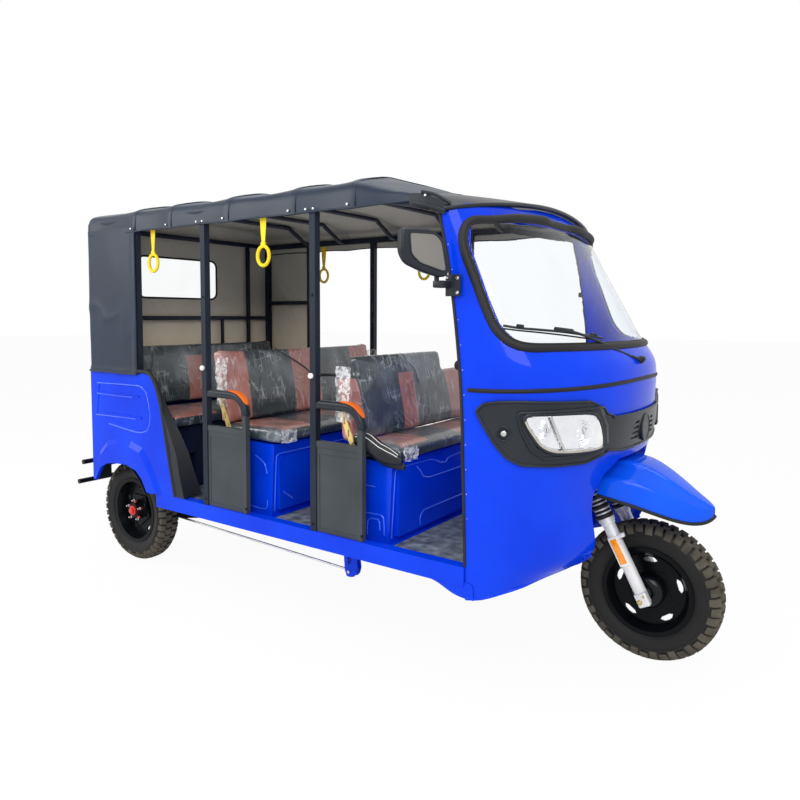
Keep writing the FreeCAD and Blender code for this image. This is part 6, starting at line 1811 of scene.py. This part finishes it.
def grips():
    """Rubber grips with end flanges, and the hand levers ahead of them"""
    rubber, levers = [], []
    low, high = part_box("handlebar")
    for side in (-1, 1):
        tip = Vector((at(0.669 - 0.011), side * 0.360, 1.128))
        root = Vector((at(0.650), side * 0.235, 1.128))
        run = (root - tip).normalized()
        for step in range(12):
            rubber.append(disc(tip + run * (0.006 + 0.0095 * step), run, 0.0165 if step % 2 else 0.0155, 0.0092, 24, 0.001, 1))
        rubber.append(disc(tip + run * 0.001, run, 0.0195, 0.006, 28, 0.002))
        rubber.append(disc(tip + run * 0.119, run, 0.0195, 0.005, 28, 0.002))
        pivot = root + run * 0.035 + Vector((0.026, 0, 0))
        levers.append(tube([pivot, pivot - run * 0.030 + Vector((0.020, 0, 0.002)), pivot - run * 0.140 + Vector((0.012, 0, 0)),
                            pivot - run * 0.170 + Vector((0.020, 0, 0))], 0.0042, smooth_path=True))
        levers.append(disc(root + run * 0.034, run, 0.0155, 0.020, 24, 0.002))
        levers.append(tube([root + run * 0.034, pivot], 0.0065))
    given(smooth(joined(rubber), 40), "handlebar_grips", "fork", "rubber", "rubber")
    given(smooth(joined(levers), 50), "hand_levers", "fork", "steel", "steel")


def tail_details():
    """Ribs and housings of the rear lamps, and round reflectors below them"""
    low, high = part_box("rear_lamps")
    ribs, amber = [], []
    for side in (-1, 1):
        inner, outer = side * 0.470, side * 0.590
        y0, y1 = min(inner, outer), max(inner, outer)
        ribs.append(tube(rounded_frame((y0 - 0.003, low.z - 0.003), (y1 + 0.003, high.z + 0.003), 0.010, at(2.7615)), 0.0042,
                         cyclic=True))
        for z in (0.765, 0.832):
            ribs.append(tube([(at(2.7655), y0, z), (at(2.7655), y1, z)], 0.0028))
        amber.append(disc((at(2.7405), side * 0.530, 0.640), (1, 0, 0), 0.026, 0.009, 40, 0.003))
    given(smooth(joined(ribs), 50), "rear_lamp_frames", "chassis", "black_plastic", "plastic")
    given(smooth(joined(amber), 50), "rear_reflectors", "chassis", "red_lamp", "red")
    plate = block((at(2.7435), -0.120, 0.700), (at(2.7395), 0.120, 0.790), 0.002)
    given(smooth(plate, 40), "blank_plate", "chassis", "steel", "white")


# Loose film at the ends of the seats, and the pouch on the front box

def crumpled(low, high, normal_axis, amount, seed, steps=(34, 34)):
    """A sheet between two corners, gathered into sharp folds and ragged at its edges"""
    rows = []
    low, high = Vector(low), Vector(high)
    axes = [axis for axis in range(3) if axis != normal_axis]
    for first in range(steps[0] + 1):
        row = []
        for second in range(steps[1] + 1):
            place = low.copy()
            place[axes[0]] += (high - low)[axes[0]] * first / steps[0]
            place[axes[1]] += (high - low)[axes[1]] * second / steps[1]
            place[normal_axis] += (high - low)[normal_axis] * first / steps[0]
            fold = noise.noise(place * 26 + Vector((seed, 0, 0)))
            fine = noise.noise(place * 75 + Vector((0, seed, 0)))
            edge = min(first, steps[0] - first, 4) / 4 * 0.5 + min(second, steps[1] - second, 4) / 4 * 0.5
            push = (abs(fold) * 1.8 + abs(fine) * 0.9) * amount * (0.35 + 0.65 * edge)
            place[normal_axis] += push * (1 if place[normal_axis] >= 0 else -1)
            ragged = noise.noise(place * 31 + Vector((seed, seed, 0)))
            place[axes[0]] += fine * amount * 0.6 + (1 - edge) * ragged * amount
            place[axes[1]] += (1 - edge) * ragged * amount * 1.2
            row.append(place)
        rows.append(row)
    return surface(rows)


def loose_film():
    """Clear wrapping that stands off the seats at their ends and over the cushions' front corners"""
    for side, name in ((-1, "right"), (1, "left")):
        for seat, back, half in (("middle", (1.757, 1.835), 0.563), ("front", (1.000, 1.078), 0.601)):
            made = crumpled((at(back[1]), side * half, 0.900), (at(back[0]), side * (half + 0.004), 1.120), 1, 0.010,
                            3 if seat == "front" else 8)
            given(smooth(made, 60), f"{seat}_back_film_{name}", "chassis", "film", "wrap")
        for seat, front in (("middle", 1.419), ("front", 0.779)):
            made = crumpled((at(front), side * 0.560, 0.762), (at(front - 0.004), side * 0.470, 0.820), 0, 0.008,
                            5 if seat == "front" else 2, (14, 24))
            given(smooth(made, 60), f"{seat}_seat_film_{name}", "chassis", "film", "wrap")


def pouch():
    """Rolled black cover with pale piping, tucked against the front seat's near end"""
    rolls, piping = [], []
    for roll, (y, z, radius) in enumerate(((-0.590, 0.822, 0.040), (-0.574, 0.797, 0.034))):
        rows = []
        length = 16
        for step in range(length + 1):
            share = step / length
            taper = math.sin(math.pi * min(1, max(0.02, share * 0.97 + 0.01))) ** 0.5
            centre = Vector((at(1.004 - 0.235 * share), y - 0.010 * math.sin(share * 4 + roll),
                             z + 0.020 * math.sin(math.pi * min(1, share * 1.6)) - 0.052 * share ** 1.6))
            ring = []
            for turn in range(20):
                angle = 2 * math.pi * turn / 20
                wrinkle = 1 + 0.14 * noise.noise(Vector((share * 7, math.cos(angle) * 1.5, math.sin(angle) * 1.5 + roll)))
                reach = radius * taper * wrinkle
                ring.append(centre + Vector((0, reach * 0.58 * math.cos(angle), reach * math.sin(angle))))
            rows.append(ring)
        body = surface(rows, closed=True)
        modified(body, "SUBSURF", levels=1, render_levels=1)
        rolls.append(body)
        for angle in (0.5, 1.35):
            line = [row[round(20 * (math.pi - angle) / (2 * math.pi)) % 20] + Vector((0, -0.001, 0.0005)) for row in rows[2:-1]]
            piping.append(tube(line, 0.0014, sides=2, smooth_path=True))
    made = given(smooth(joined(rolls), 60), "rolled_cover", "chassis", "seat_vinyl", "leatherette")
    given(smooth(joined(piping), 60), "rolled_cover_piping", "chassis", "seat_vinyl", "white")


peak()
screen_rubber()
sky_lit_fender_blue()
fork_details()
rear_hubs()
front_hub()
sill_fairings()
arm_pads()
arm_tops()
pressed_beads()
arch_liners()
straps()
floor_mats()
quarter_trims()
small_metal()
seat_links()
linkage()
grips()
tail_details()
loose_film()
pouch()
belt_moulding()
door_seals()
lower_rim()
wiper()
mirror_pieces()
headlamps()
mask_edge()
rear_frame_bars()
corner_flaps()
mask_details()


# Studio: pale floor, soft lights and the camera

def seen_white(tree, plain, share):
    """Mixes a plain shader with white for what the camera, mirrors and glass see"""
    path = tree.nodes.new("ShaderNodeLightPath")
    total = path.outputs["Is Camera Ray"]
    for other in ("Is Glossy Ray", "Is Transmission Ray"):
        added = node(tree, "ShaderNodeMath", operation="ADD", use_clamp=True)
        tree.links.new(total, added.inputs[0])
        tree.links.new(path.outputs[other], added.inputs[1])
        total = added.outputs[0]
    shared = node(tree, "ShaderNodeMath", operation="MULTIPLY")
    tree.links.new(total, shared.inputs[0])
    shared.inputs[1].default_value = share
    white = tree.nodes.new("ShaderNodeEmission")
    white.inputs["Strength"].default_value = 1.0
    mixed = tree.nodes.new("ShaderNodeMixShader")
    tree.links.new(shared.outputs[0], mixed.inputs[0])
    tree.links.new(plain, mixed.inputs[1])
    tree.links.new(white.outputs[0], mixed.inputs[2])
    return mixed.outputs[0]


def stage_floor():
    bpy.ops.object.select_all(action="DESELECT")
    bpy.ops.mesh.primitive_plane_add(size=80, location=(0, 0, 0))
    floor = bpy.context.object
    floor.name = "studio_floor"
    made, tree, principled, place = shader("studio floor")
    principled.inputs["Base Color"].default_value = (0.9, 0.9, 0.9, 1)
    principled.inputs["Roughness"].default_value = 0.9
    output = tree.nodes["Material Output"]
    tree.links.new(seen_white(tree, principled.outputs[0], 0.95), output.inputs["Surface"])
    floor.data.materials.append(made)


def area_light(name, place, target, size, power):
    data = bpy.data.lights.new(name, "AREA")
    data.shape = "RECTANGLE"
    data.size, data.size_y = size
    data.energy = power
    lamp = bpy.data.objects.new(name, data)
    bpy.context.scene.collection.objects.link(lamp)
    lamp.location = place
    lamp.rotation_euler = (Vector(target) - Vector(place)).to_track_quat("-Z", "Y").to_euler()


def camera():
    """The photograph's camera"""
    data = bpy.data.cameras.new("camera")
    data.sensor_width = 36
    data.lens = 36 * 690.4 / 800
    data.shift_x = -(400.7 - 400) / 800
    data.shift_y = (365.5 - 400) / 800
    made = bpy.data.objects.new("camera", data)
    bpy.context.scene.collection.objects.link(made)
    made.location = (AXLE_X + 0.7008, -2.6963, 1.3210)
    yaw = math.radians(124.97)
    pitch = math.radians(-4.13)
    forward = Vector((math.cos(yaw) * math.cos(pitch), math.sin(yaw) * math.cos(pitch), math.sin(pitch)))
    turn = forward.to_track_quat("-Z", "Y").to_matrix().to_4x4()
    made.rotation_euler = (turn @ Matrix.Rotation(math.radians(ROLL), 4, "Z")).to_euler()
    bpy.context.scene.camera = made


ROLL = 0.28
stage_floor()
world = bpy.context.scene.world or bpy.data.worlds.new("world")
bpy.context.scene.world = world
world.use_nodes = True
sky = world.node_tree.nodes["Background"]
sky.inputs["Color"].default_value = (1, 1, 1, 1)
sky.inputs["Strength"].default_value = 0.55
world.node_tree.links.new(seen_white(world.node_tree, sky.outputs[0], 1.0),
                          world.node_tree.nodes["World Output"].inputs["Surface"])
area_light("key light", (3.5, -4.5, 4.5), (0, 0, 0.8), (4, 4), 260)
area_light("fill light", (-3.5, -4, 3), (0, 0, 0.8), (3, 3), 120)
area_light("top light", (0, 0, 6), (0, 0, 0.8), (5, 4), 120)
camera()
bpy.context.scene.view_settings.view_transform = "Standard"
